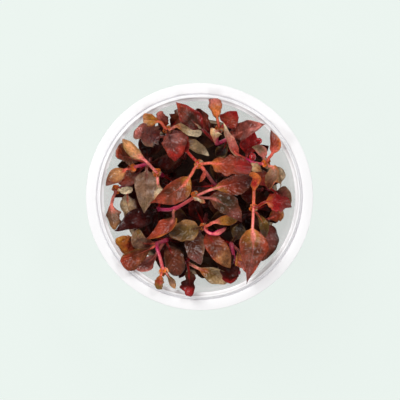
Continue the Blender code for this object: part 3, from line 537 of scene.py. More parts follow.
class PlantSettings(bpy.types.PropertyGroup):
    """Sizes and finish of the stems and leaves."""

    stem_radius: length_property("Stem radius", "Radius of a stem at its foot", 1.1)
    petiole_radius: length_property("Petiole radius", "Half the thickness of a petiole", 0.6)
    blade_thickness: length_property("Blade thickness", "Thickness of a leaf's blade", 0.3)
    midrib_depth: length_property("Midrib", "How far the midrib stands out under the blade", 0.55)
    ripple: length_property("Ripple", "Height of the waves along a broad leaf's margins", 0.45)
    gloss: share_property("Wet gloss", "Strength of the wet film on the leaves", 0.4)
    leaf_roughness: share_property("Leaf roughness", "Roughness of a leaf's skin", 0.38)


class Paints(bpy.types.PropertyGroup):
    """Colours that the leaves and stems are painted with."""

    scarlet: colour_property("Scarlet", "Brightest red of young blades", 172, 38, 30)
    crimson: colour_property("Crimson", "Deep red of blades and ribs", 132, 22, 22)
    maroon: colour_property("Maroon", "Dark red of hidden leaves", 56, 12, 9)
    # painted shade: near-black paint that stands for the shade deep among the stems
    shade: colour_property("Shade", "Darkest blades, deep among the stems", 24, 5, 3)
    red_brown: colour_property("Red brown", "Commonest colour of the upper blades", 138, 50, 28)
    brown: colour_property("Brown", "Brown of older blades", 98, 46, 26)
    dark_brown: colour_property("Dark brown", "Brown of shaded blades", 56, 28, 17)
    orange: colour_property("Orange", "Orange of young margins", 190, 100, 42)
    flame: colour_property("Flame", "Bright orange of the bracts", 236, 116, 44)
    blood: colour_property("Blood", "Bright red of wet buds", 214, 16, 22)
    amber: colour_property("Amber", "Yellow orange near the petioles", 172, 112, 40)
    tan: colour_property("Tan", "Pale young blades", 186, 128, 80)
    beige: colour_property("Beige", "Palest blades", 176, 146, 106)
    cream: colour_property("Cream", "Curled pale shoots", 226, 204, 168)
    olive: colour_property("Olive", "Green brown blades", 102, 74, 30)
    dark_olive: colour_property("Dark olive", "Green brown blades in shade", 66, 44, 24)
    grey_olive: colour_property("Grey olive", "Silvery green brown blades", 108, 84, 60)
    taupe: colour_property("Taupe", "Grey brown blades", 130, 96, 74)
    mauve: colour_property("Mauve", "Blades with a purple sheen", 112, 56, 48)
    rose: colour_property("Rose", "Dull pink of midribs", 190, 104, 92)
    pink: colour_property("Pink", "Pink of petioles", 232, 120, 116)
    coral: colour_property("Coral", "Orange pink of petioles", 224, 100, 82)
    magenta: colour_property("Magenta", "Brightest stems", 192, 8, 92)


class StageSettings(bpy.types.PropertyGroup):
    """The floor and the studio light."""

    floor: colour_property("Floor colour", "Colour of the plain floor", 235, 244, 239)
    key_power: FloatProperty(
        name="Key power", description="Power of the soft light from the upper left", default=13.0, min=0.0,
        unit="POWER"
    )
    fill: share_property("Fill", "Power of each other light of the ring, as a share of the key's", 0.25)
    sky: FloatProperty(
        name="Sky", description="Brightness of the even light all round", default=0.08, min=0.0
    )
    glow: share_property("Floor glow", "Share of the floor's brightness that comes from within it", 0.9)


class CultureCupSettings(bpy.types.PropertyGroup):
    """Everything that can be set on the culture cup."""

    cup: PointerProperty(type=CupSettings)
    plants: PointerProperty(type=PlantSettings)
    paints: PointerProperty(type=Paints)
    stage: PointerProperty(type=StageSettings)


# Nodes of materials


def feed(tree, socket, value):
    """Links a socket to another, or sets its value."""
    if isinstance(value, bpy.types.NodeSocket):
        tree.links.new(value, socket)
    else:
        socket.default_value = value


def reckon(tree, operation, first, second=0.0, third=0.0):
    """A Math node's result."""
    node = tree.nodes.new("ShaderNodeMath")
    node.operation = operation
    for socket, value in zip(node.inputs, (first, second, third)):
        feed(tree, socket, value)
    return node.outputs[0]


def remap(tree, value, low, high, to_low=0.0, to_high=1.0):
    """Takes a value smoothly from one range to another."""
    node = tree.nodes.new("ShaderNodeMapRange")
    node.interpolation_type = "SMOOTHSTEP"
    for name, amount in zip(
        ("Value", "From Min", "From Max", "To Min", "To Max"), (value, low, high, to_low, to_high)
    ):
        feed(tree, node.inputs[name], amount)
    return node.outputs[0]


def blend_colours(tree, factor, first, second, way="MIX"):
    """Mixes two colours."""
    node = tree.nodes.new("ShaderNodeMix")
    node.data_type = "RGBA"
    node.blend_type = way
    feed(tree, node.inputs[0], factor)
    for socket, colour in zip((node.inputs[6], node.inputs[7]), (first, second)):
        feed(tree, socket, colour if isinstance(colour, bpy.types.NodeSocket) else (*colour, 1.0))
    return node.outputs[2]


def ramp(tree, factor, stops):
    """Colour at factor of a ramp with the given stops."""
    node = tree.nodes.new("ShaderNodeValToRGB")
    feed(tree, node.inputs[0], factor)
    elements = node.color_ramp.elements
    while len(elements) < len(stops):
        elements.new(1.0)
    for element, (place, colour) in zip(elements, stops):
        element.position = place
        element.color = (*colour, 1.0)
    return node.outputs[0]


def clouds(tree, vector, scale, detail=2.0):
    """Noise at the given scale."""
    node = tree.nodes.new("ShaderNodeTexNoise")
    feed(tree, node.inputs["Vector"], vector)
    node.inputs["Scale"].default_value = scale
    node.inputs["Detail"].default_value = detail
    return node.outputs[0]


def coordinates(tree, kind):
    """The given kind of texture coordinates."""
    return tree.nodes.new("ShaderNodeTexCoord").outputs[kind]


def parts_of(tree, vector):
    """A vector's three parts."""
    node = tree.nodes.new("ShaderNodeSeparateXYZ")
    tree.links.new(vector, node.inputs[0])
    return node.outputs


def shaded(tree, colour, value):
    """A colour made lighter or darker."""
    node = tree.nodes.new("ShaderNodeHueSaturation")
    feed(tree, node.inputs["Color"], colour)
    feed(tree, node.inputs["Value"], value)
    return node.outputs[0]


def new_finish(name, roughness, **sockets):
    """A Principled material, its tree and its shader; sockets are set by name, with _ for a space."""
    material = bpy.data.materials.new(name)
    material.use_nodes = True
    tree = material.node_tree
    shader = tree.nodes["Principled BSDF"]
    shader.inputs["Roughness"].default_value = roughness
    for word, value in sockets.items():
        shader.inputs[word.replace("_", " ")].default_value = value
    return material, tree, shader


def add_bump(tree, shader, height, distance, strength=1.0):
    """Gives the shader a bumped normal, and its coat the same."""
    bump = tree.nodes.new("ShaderNodeBump")
    bump.inputs["Strength"].default_value = strength
    bump.inputs["Distance"].default_value = distance
    feed(tree, bump.inputs["Height"], height)
    tree.links.new(bump.outputs[0], shader.inputs["Normal"])
    tree.links.new(bump.outputs[0], shader.inputs["Coat Normal"])


def leaf_finish(name, looks, edges, gloss, settings):
    """Blade painted from foot to tip, with margin, ribs, side veins, quilting and a wet gloss."""
    paints = settings.paints
    foot, middle, tip, margin, rib = (getattr(paints, word) for word in looks.split())
    dull = settings.plants.leaf_roughness
    material, tree, shader = new_finish(
        name, dull, Coat_Weight=gloss, Coat_Roughness=COAT_ROUGHNESS,
        Specular_IOR_Level=LEAF_SPECULAR * gloss,
    )
    place = coordinates(tree, "Object")
    along, spread, _ = parts_of(tree, coordinates(tree, "UV"))
    across = reckon(tree, "ABSOLUTE", reckon(tree, "MULTIPLY_ADD", spread, 2.0, -1.0))
    patch = clouds(tree, place, LEAF_PATCHES)
    grain = clouds(tree, place, LEAF_GRAINS, FINE_DETAIL)
    stray = reckon(tree, "SUBTRACT", patch, 0.5)
    stops = tuple(zip(PAINT_STOPS, (foot, middle, middle, tip)))
    colour = ramp(tree, reckon(tree, "MULTIPLY_ADD", stray, PAINT_STRAY, along), stops)
    edge = remap(tree, reckon(tree, "MULTIPLY_ADD", stray, MARGIN_STRAY, across), *MARGIN_REACH)
    strength = remap(tree, spread, *MARGIN_CHANGE, edges[1], edges[0])
    colour = blend_colours(tree, reckon(tree, "MULTIPLY", edge, strength), colour, margin)
    blade = remap(tree, along, *(PETIOLE_PART + beyond for beyond in BLADE_START))
    lines = reckon(tree, "MULTIPLY_ADD", along, VEINS, reckon(tree, "MULTIPLY", across, VEIN_SLANT))
    lines = reckon(tree, "MULTIPLY_ADD", stray, VEIN_STRAY, lines)
    between = reckon(tree, "MULTIPLY", reckon(tree, "PINGPONG", lines, 0.5), 2.0)
    vein = reckon(tree, "MULTIPLY", remap(tree, between, VEIN_WIDTH, 0.0), blade)
    colour = blend_colours(tree, reckon(tree, "MULTIPLY", vein, VEIN_STRENGTH), colour, rib)
    midrib = remap(tree, across, remap(tree, along, PETIOLE_PART, *RIB_NARROWS), 0.0)
    rib_share = reckon(tree, "MULTIPLY", midrib, remap(tree, along, PETIOLE_PART, *RIB_FADES))
    stalk = reckon(
        tree, "MULTIPLY", reckon(tree, "SUBTRACT", 1.0, blade), remap(tree, across, 1.0, STALK_EDGE)
    )
    colour = blend_colours(tree, reckon(tree, "MAXIMUM", rib_share, stalk), colour, rib)
    grain_shade = remap(tree, grain, *NOISE_RANGE, *GRAIN_SHADES)
    worn = reckon(tree, "MULTIPLY", grain_shade, remap(tree, patch, *PATCH_SHADES))
    below = tree.nodes.new("ShaderNodeAttribute")
    below.attribute_name = "underside"
    under = reckon(tree, "MULTIPLY", reckon(tree, "MULTIPLY", below.outputs["Fac"], blade), UNDERSIDE)
    colour = blend_colours(tree, under, shaded(tree, colour, worn), paints.crimson)
    tree.links.new(colour, shader.inputs["Base Color"])
    roughness = remap(tree, patch, *NOISE_RANGE, *(dull + change for change in ROUGHNESS_SPREAD))
    tree.links.new(roughness, shader.inputs["Roughness"])
    puffed = reckon(tree, "MULTIPLY", remap(tree, between, 0.0, 1.0), blade)
    height = reckon(tree, "MULTIPLY", grain, BUMPS["grain"])
    for part, kind in ((puffed, "veins"), (patch, "patch"), (midrib, "midrib")):
        height = reckon(tree, "MULTIPLY_ADD", part, BUMPS[kind], height)
    add_bump(tree, shader, height, BUMP_HEIGHT * (BUMP_WHEN_DRY + gloss))
    return material


def stem_finish(name, settings):
    """Fleshy pink stem, deeper red towards its foot and paler in patches."""
    paints = settings.paints
    material, tree, shader = new_finish(name, 0.32, Coat_Weight=settings.plants.gloss, Coat_Roughness=0.1)
    place = coordinates(tree, "Object")
    patch = clouds(tree, place, 160.0)
    grain = clouds(tree, place, 1500.0, FINE_DETAIL)
    raised = reckon(tree, "MULTIPLY_ADD", patch, STEM_STRAY, parts_of(tree, place)["Z"])
    stops = tuple(zip(STEM_STOPS, (paints.maroon, paints.crimson, paints.magenta, paints.coral)))
    colour = ramp(tree, reckon(tree, "MULTIPLY", raised, 1 / STEM_TOP), stops)
    colour = blend_colours(tree, remap(tree, patch, 0.45, 0.75, 0.0, 0.6), colour, paints.pink)
    colour = shaded(tree, colour, remap(tree, grain, *NOISE_RANGE, 0.82, 1.1))
    tree.links.new(colour, shader.inputs["Base Color"])
    add_bump(tree, shader, grain, 0.00012)
    return material


def bud_finish(name, settings):
    """Wet, bright red bud, darker in patches."""
    paints = settings.paints
    material, tree, shader = new_finish(name, 0.22, Coat_Weight=1.0, Coat_Roughness=0.05)
    patch = clouds(tree, coordinates(tree, "Object"), 700.0)
    colour = blend_colours(tree, remap(tree, patch, 0.4, 0.7), tuple(paints.blood), tuple(paints.crimson))
    tree.links.new(colour, shader.inputs["Base Color"])
    add_bump(tree, shader, patch, 0.0003, 0.5)
    return material


def plastic_finish(name, colour, shade_rings, misted, relief, clearness, roughness):
    """Moulded plastic, glossy and milky and finely speckled, with painted shade in grey rings along the
    edges where it bends.
    """
    material, tree, shader = new_finish(name, roughness, Alpha=1.0 - clearness, IOR=PLASTIC_IOR)
    place = coordinates(tree, "Object")
    haze = clouds(tree, place, 45.0)
    mist = clouds(tree, place, 1100.0, FINE_DETAIL)
    dimmed = tuple(HAZE_SHADE * channel for channel in colour)
    colour = blend_colours(tree, remap(tree, haze, *NOISE_RANGE), colour, dimmed)
    radius = radius_of(tree, place)
    # painted shade: grey rings where the plastic bends
    for middle, width, strength, shade in shade_rings:
        away = reckon(tree, "ABSOLUTE", reckon(tree, "SUBTRACT", radius, middle * MM))
        shade_line = remap(tree, away, width * MM, 0.0, 0.0, strength)
        colour = blend_colours(tree, shade_line, colour, shade)
    colour = blend_colours(tree, remap(tree, mist, 0.5, 0.62, 0.0, misted), colour, MIST_COLOUR)
    tree.links.new(colour, shader.inputs["Base Color"])
    add_bump(tree, shader, reckon(tree, "MULTIPLY_ADD", mist, 0.15, haze), 0.0004, relief)
    return material


def radius_of(tree, place):
    """Distance of a point from the cup's axis."""
    x, y, _ = parts_of(tree, place)
    return reckon(tree, "SQRT", reckon(tree, "MULTIPLY_ADD", y, y, reckon(tree, "MULTIPLY", x, x)))


def gel_finish(name, colour, edge):
    """Set gel, wet and faintly clouded, painted near black in the middle as painted shade under the leaves,
    and in its own pale tint where it meets the wall.
    """
    material, tree, shader = new_finish(name, 0.12, Transmission_Weight=0.15, IOR=GEL_IOR)
    place = coordinates(tree, "Object")
    haze = clouds(tree, place, 120.0)
    near_edge = remap(tree, radius_of(tree, place), *(radius * MM for radius in GEL_EDGE))
    colour = blend_colours(tree, near_edge, colour, edge)
    colour = blend_colours(tree, remap(tree, haze, *NOISE_RANGE, 0.0, 0.05), colour, edge)
    tree.links.new(colour, shader.inputs["Base Color"])
    add_bump(tree, shader, haze, 0.0008, 0.8)
    return material


# Modelling


def deselect_all():
    """Leaves nothing selected."""
    bpy.ops.object.select_all(action="DESELECT")


def select_only(item):
    """Selects one object and makes it the active one."""
    deselect_all()
    item.select_set(True)
    bpy.context.view_layer.objects.active = item


def settle(item):
    """Puts an object at the origin, with its place in its mesh."""
    select_only(item)
    bpy.ops.object.transform_apply(location=True, rotation=True, scale=True)


def finish_piece(item, slot, *nodes):
    """Lets the piece ride on the part and stand for its CAD nodes."""
    settle(item)
    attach(item, BODY)
    if nodes:
        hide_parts(*nodes)


def turn_outward(item, weld=False):
    """Turns an object's faces outward, once its doubled points are joined if weld is set."""
    select_only(item)
    bpy.ops.object.mode_set(mode="EDIT")
    bpy.ops.mesh.select_all(action="SELECT")
    if weld:
        bpy.ops.mesh.remove_doubles(threshold=WELD)
    bpy.ops.mesh.normals_make_consistent(inside=False)
    bpy.ops.object.mode_set(mode="OBJECT")


def turned_piece(name, profile, steps, rounding):
    """Draws a half section of (radius, height), rounds its corners and spins it."""
    deselect_all()
    bpy.ops.mesh.primitive_plane_add(size=1.0, location=(0.0, 0.0, 0.0))
    item = bpy.context.object
    item.name = name
    item.data.name = name
    bpy.ops.object.mode_set(mode="EDIT")
    bpy.ops.mesh.select_all(action="SELECT")
    bpy.ops.mesh.merge(type="CENTER")
    points = [Vector((radius * MM, 0.0, height * MM)) for radius, height in profile]
    bpy.ops.transform.translate(value=points[0])
    for before, after in zip(points, points[1:]):
        bpy.ops.mesh.extrude_region_move(TRANSFORM_OT_translate={"value": after - before})
    bpy.ops.mesh.select_all(action="SELECT")
    if rounding:
        bpy.ops.mesh.bevel(offset=rounding, segments=EDGE_SEGMENTS, affect="VERTICES", clamp_overlap=True)
        bpy.ops.mesh.select_all(action="SELECT")
    bpy.ops.mesh.spin(steps=steps, angle=math.tau, center=(0.0, 0.0, 0.0), axis=(0.0, 0.0, 1.0))
    bpy.ops.object.mode_set(mode="OBJECT")
    turn_outward(item, weld=True)
    bpy.ops.object.shade_smooth_by_angle(angle=math.radians(SMOOTH_ANGLE))
    return item


def wall_radius(cup, height):
    """Inner radius of the cup's tapered wall below its stacking step."""
    wall = cup.wall / MM
    top = MOUTH_RADIUS - NECK - STEP_WIDTH
    share = (height - FLOOR) / (STEP_HEIGHT - FLOOR)
    return BASE_RADIUS - wall + share * (top - BASE_RADIUS + wall)


def cup_profile(cup):
    """Half section of the cup: up the inside, over the bead and flange, and down the outside."""
    rim, flange, wall = cup.rim_height / MM, cup.flange_radius / MM, cup.wall / MM
    bead_outer = GROOVE_RADIUS - GROOVE_WIDTH / 2
    bead_inner = bead_outer - BEAD_WIDTH
    groove_outer = GROOVE_RADIUS + GROOVE_WIDTH / 2
    bead_top = rim + BEAD_HEIGHT
    groove_floor = rim - GROOVE_DEPTH
    flange_under = rim - FLANGE_THICKNESS
    lip_inner = flange - LIP_THICKNESS
    neck = MOUTH_RADIUS - NECK
    step_top, step_foot = (STEP_HEIGHT + above for above in STEP_OUTSIDE)
    return [
        (0.0, FLOOR),
        (wall_radius(cup, FLOOR) - BASE_ROUND, FLOOR),
        (wall_radius(cup, FLOOR + BASE_ROUND), FLOOR + BASE_ROUND),
        (wall_radius(cup, STEP_HEIGHT), STEP_HEIGHT),
        (neck, STEP_HEIGHT + STEP_WIDTH),
        (MOUTH_RADIUS, rim - MOUTH_EDGE),
        (bead_inner, rim),
        (bead_inner + BEAD_DRAFT, bead_top),
        (bead_outer - BEAD_DRAFT, bead_top),
        (bead_outer, groove_floor),
        (groove_outer - DRAFT, groove_floor),
        (groove_outer, rim),
        (flange, rim),
        (flange, rim - LIP_DROP),
        (lip_inner, rim - LIP_DROP),
        (lip_inner - DRAFT, flange_under),
        (neck + wall + SHOULDER, flange_under),
        (neck + wall, step_top),
        (wall_radius(cup, STEP_HEIGHT) + wall, step_foot),
        (BASE_RADIUS + BASE_FLARE, BASE_ROUND),
        (BASE_RADIUS - BASE_CORNER * BASE_ROUND, BASE_CORNER * BASE_ROUND),
        (BASE_RADIUS - BASE_ROUND, 0.0),
        (0.0, 0.0),
    ]


def smooth_point(points, share):
    """Point at share, from 0 to 1, of a Catmull-Rom curve through the points."""
    place = share * (len(points) - 1)
    i = min(int(place), len(points) - 2)
    t = place - i
    before = points[max(i - 1, 0)]
    start, end = points[i], points[i + 1]
    after = points[min(i + 2, len(points) - 1)]
    return 0.5 * (
        2 * start
        + (end - before) * t
        + (2 * before - 5 * start + 4 * end - after) * t * t
        + (3 * start - before - 3 * end + after) * t**3
    )


def stem_route(shoot, gel_top):
    """The stem's route, upright where it stands in the gel."""
    route = [Vector(point) for point in shoot.route]
    above = Vector((route[0].x, route[0].y, gel_top + STEM_UPRIGHT))
    return [route[0], above, *route[1:]]


def ease(share):
    """Rises smoothly from 0 to 1 as share goes from 0 to 1."""
    share = min(max(share, 0.0), 1.0)
    return share * share * (3 - 2 * share)


def midrib_point(leaf, start, lift, share):
    """Point of the leaf's midrib at share of its length; lift raises all but its foot."""
    middle, tip = Vector(leaf.middle), Vector(leaf.tip)
    control = 2 * middle - (start + tip) / 2
    point = (1 - share) ** 2 * start + 2 * share * (1 - share) * control + share**2 * tip
    point.z += lift * ease(share / FULL_LIFT)
    return point


def half_width(leaf, share):
    """Half the leaf's width at share of its length: a narrow petiole, then a pointed oval blade."""
    stalk = PETIOLE_WIDTH / 2
    if share <= leaf.petiole:
        return stalk
    along = min((share - leaf.petiole) / (1 - leaf.petiole), 1.0)
    oval = leaf.width / 2 * max(math.sin(math.pi * along**0.8), 0.0) ** 0.9
    return max(oval, stalk * (1 - along), TIP_WIDTH / 2)


def leaf_frame(leaf, start, lift, share):
    """Midrib point, direction to the left edge and upward normal at share of the length."""
    ahead = midrib_point(leaf, start, lift, min(max(share, 0.0) + 0.02, 1.0))
    behind = midrib_point(leaf, start, lift, max(min(share, 1.0) - 0.02, 0.0))
    tangent = (ahead - behind).normalized()
    chord = (Vector(leaf.tip) - start).normalized()
    heading = Vector((tangent.x + 0.3 * chord.x, tangent.y + 0.3 * chord.y, 0)).normalized()
    side = Vector((0, 0, 1)).cross(heading)
    side = (side - side.dot(tangent) * tangent).normalized()
    normal = tangent.cross(side)
    roll = math.radians(leaf.roll * ease(share * 2))
    left = math.cos(roll) * side + math.sin(roll) * normal
    up = math.cos(roll) * normal - math.sin(roll) * side
    return midrib_point(leaf, start, lift, share), left, up


def leaf_rows(leaf):
    """Shares of the CAD leaf's length at which its cross sections stand."""
    rows = ROWS_OF_WIDE if leaf.width >= WIDE_LEAF else ROWS_OF_NARROW
    if leaf.fused:
        rows = ROWS_OF_FUSED
    return [leaf.petiole + (1 - leaf.petiole) * row for row in rows]


def corner_tree(node):
    """Search tree of a CAD node's corners, in millimetres."""
    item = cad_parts[node]
    tree = kdtree.KDTree(len(item.data.vertices))
    for vertex in item.data.vertices:
        tree.insert(item.matrix_world @ vertex.co / MM, vertex.index)
    tree.balance()
    return tree


def leaf_starts(shoot, leaf):
    """Places where the CAD leaf may begin."""
    node = Vector(shoot.route[leaf.node])
    if leaf.fused:
        below = Vector(shoot.route[leaf.node - 1])
        return [node + (below - node).normalized() * down for down in FUSED_STARTS]
    way = (Vector(leaf.middle) - node).normalized()
    return [node + way * clear for clear in PETIOLE_STARTS]


def settled_place(shoot, leaf, tree):
    """The leaf's width, start and lift in the CAD model, found by its corners there."""
    highest = round(LIFT_LIMIT / LIFT_STEP)
    lifts = [i * LIFT_STEP for i in range(-highest, highest + 1)]
    best = None
    for narrowing in NARROWINGS:
        fitted = leaf._replace(width=leaf.width * narrowing)
        for start in leaf_starts(shoot, leaf):
            for lift in lifts:
                miss = 0.0
                for share in leaf_rows(leaf)[1:]:
                    here, left, up = leaf_frame(fitted, start, lift, share)
                    half = half_width(fitted, share)
                    rise = half * math.tan(math.radians(leaf.fold))
                    for across in (-1.0, 0.0, 1.0):
                        point = here + left * across * half + up * rise * abs(across)
                        miss += tree.find(point)[2]
                    if best is not None and miss > best[0]:
                        break
                if best is None or miss < best[0]:
                    best = (miss, fitted, start, lift)
    return best


def leaf_pattern(name, rows, columns):
    """A flat leaf pattern of two layers, from which every leaf is copied and then shaped."""
    deselect_all()
    bpy.ops.mesh.primitive_grid_add(x_subdivisions=rows, y_subdivisions=columns, size=2.0)
    item = bpy.context.object
    item.name = name
    layers = item.modifiers.new("Layers", "SOLIDIFY")
    layers.thickness = 1.0
    layers.offset = 0.0
    bpy.ops.object.modifier_apply(modifier=layers.name)
    mesh = item.data
    under = mesh.attributes.new("underside", "FLOAT", "POINT")
    for vertex in mesh.vertices:
        across = vertex.co.y
        vertex.co.y = math.copysign(abs(across) ** COLUMN_CROWDING, across)
        under.data[vertex.index].value = 1.0 if vertex.co.z < 0 else 0.0
    uv = mesh.uv_layers.active.data
    for loop in mesh.loops:
        place = mesh.vertices[loop.vertex_index].co
        uv[loop.index].uv = ((place.x + 1) / 2, (place.y + 1) / 2)
    return item


def copy_of(pattern, name):
    """A copy of an object with its own mesh."""
    item = pattern.copy()
    item.data = pattern.data.copy()
    item.name = name
    item.data.name = name
    bpy.context.scene.collection.objects.link(item)
    return item


def blade_half(leaf, along):
    """Half the blade's width at a share of its length."""
    foot, tip = leaf.ends
    widest = foot / (foot + tip)
    return leaf.trim * leaf.width / 2 * (along / widest) ** foot * ((1 - along) / (1 - widest)) ** tip


def half_section(fold, curl, width):
    """How far out and up the blade's half is at a share of its width, for a half width of one."""
    out, up = 0.0, 0.0
    for i in range(HALF_STEPS):
        share = (i + 0.5) / HALF_STEPS * width
        angle = fold + curl * share**2
        out += math.cos(angle) * width / HALF_STEPS
        up += math.sin(angle) * width / HALF_STEPS
    return out, up


def shape_leaf(item, leaf, start, root, lift, settings):
    """Bends a leaf pattern to the leaf's midrib, outline, fold and ripples; root is inside the stem."""
    plants = settings.plants
    rng = random.Random(leaf.name)
    phase = rng.uniform(0, math.tau)
    waves = rng.uniform(*WAVES)
    size = min(leaf.width / USUAL_WIDTH, LARGEST_SIZE)
    ripple = plants.ripple / MM * size * rng.uniform(*RIPPLES)
    lean = leaf.lean + rng.uniform(-LEAN_STRAY, LEAN_STRAY)
    folds = [math.radians(leaf.fold + rng.uniform(-FOLD_STRAY, FOLD_STRAY)) for _ in range(2)]
    curls = [curl + rng.uniform(-CURL_STRAY, CURL_STRAY) for curl in leaf.curl]
    sickle = leaf.sickle + rng.uniform(-SICKLE_STRAY, SICKLE_STRAY) * size
    twist = math.radians(leaf.twist + rng.uniform(-TWIST_STRAY, TWIST_STRAY))
    seed = rng.uniform(0, 90)
    petiole = plants.petiole_radius / MM
    blade = plants.blade_thickness / MM
    keel = plants.midrib_depth / MM * min(size + 0.2, 1.0)
    span = (Vector(leaf.tip) - start).length
    extra = (root - start).length / span
    sections = {}
    rows = {}
    for vertex in item.data.vertices:
        t = (vertex.co.x + 1) / 2
        across, layer = vertex.co.y, vertex.co.z
        key = round(t, 5)
        if key not in rows:
            if t < PETIOLE_PART:
                share = -extra + (leaf.petiole + extra) * t / PETIOLE_PART
            else:
                share = leaf.petiole + (1 - leaf.petiole) * (t - PETIOLE_PART) / (1 - PETIOLE_PART)
            here, left, up = leaf_frame(leaf, start, lift, max(share, 0.0))
            if share < 0:
                here = start.lerp(root, -share / extra)
            along = min(max((share - leaf.petiole) / (1 - leaf.petiole), 0.0), 1.0)
            half = math.hypot(blade_half(leaf, along), petiole * (1 - along)) + LEAST_HALF
            flat = ease((share - leaf.petiole + FLATTENS[0]) / FLATTENS[1])
            here = here + left * sickle * math.sin(math.pi * along)
            turn = twist * along**1.5
            left, up = (
                left * math.cos(turn) + up * math.sin(turn),
                up * math.cos(turn) - left * math.sin(turn),
            )
            rows[key] = (here, left, up, half, flat, along)
        here, left, up, half, flat, along = rows[key]
        width = abs(across)
        side = 0 if across > 0 else 1
        key = (side, round(width, 4), round(flat, 3))
        if key not in sections:
            sections[key] = half_section(folds[side] * flat, curls[side] * flat, width)
        out, rise = sections[key]
        frill = noise.noise(Vector((along * FRILLS * leaf.frill**0.5, 4.0 * side, seed)))
        half *= 1 + (lean * (1 - 2 * side) + FRILL * leaf.frill * frill) * flat
        rise *= half
        wave = math.sin(math.tau * waves * along + phase + WAVE_SHIFT * side)
        rise += ripple * wave * width**2 * math.sin(math.pi * along)
        rise += BUCKLE * size * flat * noise.noise(Vector((along * span, across * half, seed)) * BUCKLES)
        rib = math.exp(-((across * half / RIB_WIDTH) ** 2)) * (1 - along) ** 0.7
        round_thickness = petiole * 2 * math.sqrt(max(1 - width**2, 0.0)) * (1 - PETIOLE_THINS * along)
        flat_thickness = blade * (1 - MARGIN_THINS * width**6) + rib * keel
        thick = round_thickness + (flat_thickness - round_thickness) * flat
        rise -= flat * rib * RIB_SINKS
        offset = layer * thick - flat * rib * keel * KEEL_DROP
        vertex.co = (here + left * math.copysign(out * half, across) + up * (rise + offset)) * MM


def new_leaf(pattern, name, leaf, start, root, lift, looks, gloss, settings):
    """One leaf, copied from the pattern, shaped and painted."""
    item = copy_of(pattern, name)
    shape_leaf(item, leaf, start, root, lift, settings)
    item.data.materials.append(leaf_finish(f"leaf paint {name}", looks, leaf.edges, gloss, settings))
    turn_outward(item)
    bpy.ops.object.shade_smooth()
    return item


def drop(item):
    """Removes a pattern that is no longer needed."""
    bpy.data.objects.remove(item, do_unlink=True)


def stem_node_at(shoot, height, gel_top):
    """Point of the stem's axis at the given height."""
    route = stem_route(shoot, gel_top)
    points = [smooth_point(route, i / NODE_SAMPLES) for i in range(NODE_SAMPLES + 1)]
    return min(points, key=lambda point: abs(point.z - height))


def ray(turn, length):
    """Horizontal vector of the given direction and length."""
    return Vector((math.cos(turn), math.sin(turn), 0)) * length


def whorl_arms(shoot, number, tier, tree, gel_top):
    """Node and (turn, reach) of each leaf of a CAD whorl, found by their tips' corners."""
    height, count = WHORLS[tier]
    first = math.radians(number * WHORL_TURN + tier * TIER_TURN)
    turns = [first + math.tau * i / count for i in range(count)]
    highest = shoot.route[-1][2] - WHORL_BELOW_CROWN
    choices = []
    for shift in WHORL_SHIFTS:
        node = stem_node_at(shoot, min(height + shift, highest), gel_top)
        arms = []
        for turn in turns:
            for reach in WHORL_REACHES:
                tip = node + ray(turn, reach)
                above = tip + Vector((0, 0, PLATE_THICKNESS / 2))
                if tree.find(above)[2] < TIP_MISS:
                    arms.append((turn, reach))
                    break
        choices.append((sum(reach for _, reach in arms), node, arms))
    return max(choices, key=lambda choice: choice[0])[1:]


def add_stem(shoot, settings):
    """A fleshy tapered stem that swells at its nodes and ends in a rounded bud."""
    gel_top = settings.cup.gel_top / MM
    route = stem_route(shoot, gel_top)
    fine = [smooth_point(route, i / ROUTE_SAMPLES) for i in range(ROUTE_SAMPLES + 1)]
    lengths = [0.0]
    for before, after in zip(fine, fine[1:]):
        lengths.append(lengths[-1] + (after - before).length)
    total = lengths[-1]
    steps = max(int(total / STEM_RING_STEP), 8)
    nodes = [Vector(shoot.route[i]) for i in sorted({leaf.node for leaf in shoot.leaves})]
    nodes += [stem_node_at(shoot, height, gel_top) for height, _ in WHORLS]
    deselect_all()
    bpy.ops.curve.primitive_nurbs_path_add(location=(0.0, 0.0, 0.0))
    guide = bpy.context.object
    guide.name = f"stem_{shoot.name}"
    curve = guide.data
    curve.bevel_depth = settings.plants.stem_radius
    curve.bevel_resolution = STEM_SEGMENTS
    curve.use_fill_caps = True
    spline = curve.splines[0]
    spline.type = "POLY"
    spline.points.add(steps + 1 - len(spline.points))
    for i, point in enumerate(spline.points):
        want = total * i / steps
        place = next(j for j, length in enumerate(lengths) if length >= want - 1e-6)
        here = fine[place]
        point.co = (*(here * MM), 1.0)
        swell = max(math.exp(-(((here - node).length / NODE_REACH) ** 2)) for node in nodes)
        end = 1.0 - END_NARROWING * ease((want - total) / END_LENGTH + 1.0)
        point.radius = (STEM_WIDTH - STEM_TAPER * want / total + NODE_SWELL * swell) * end
    bpy.ops.object.convert(target="MESH")
    stem = bpy.context.object
    turn_outward(stem, weld=True)
    bpy.ops.object.shade_smooth()
    return stem


# Operators


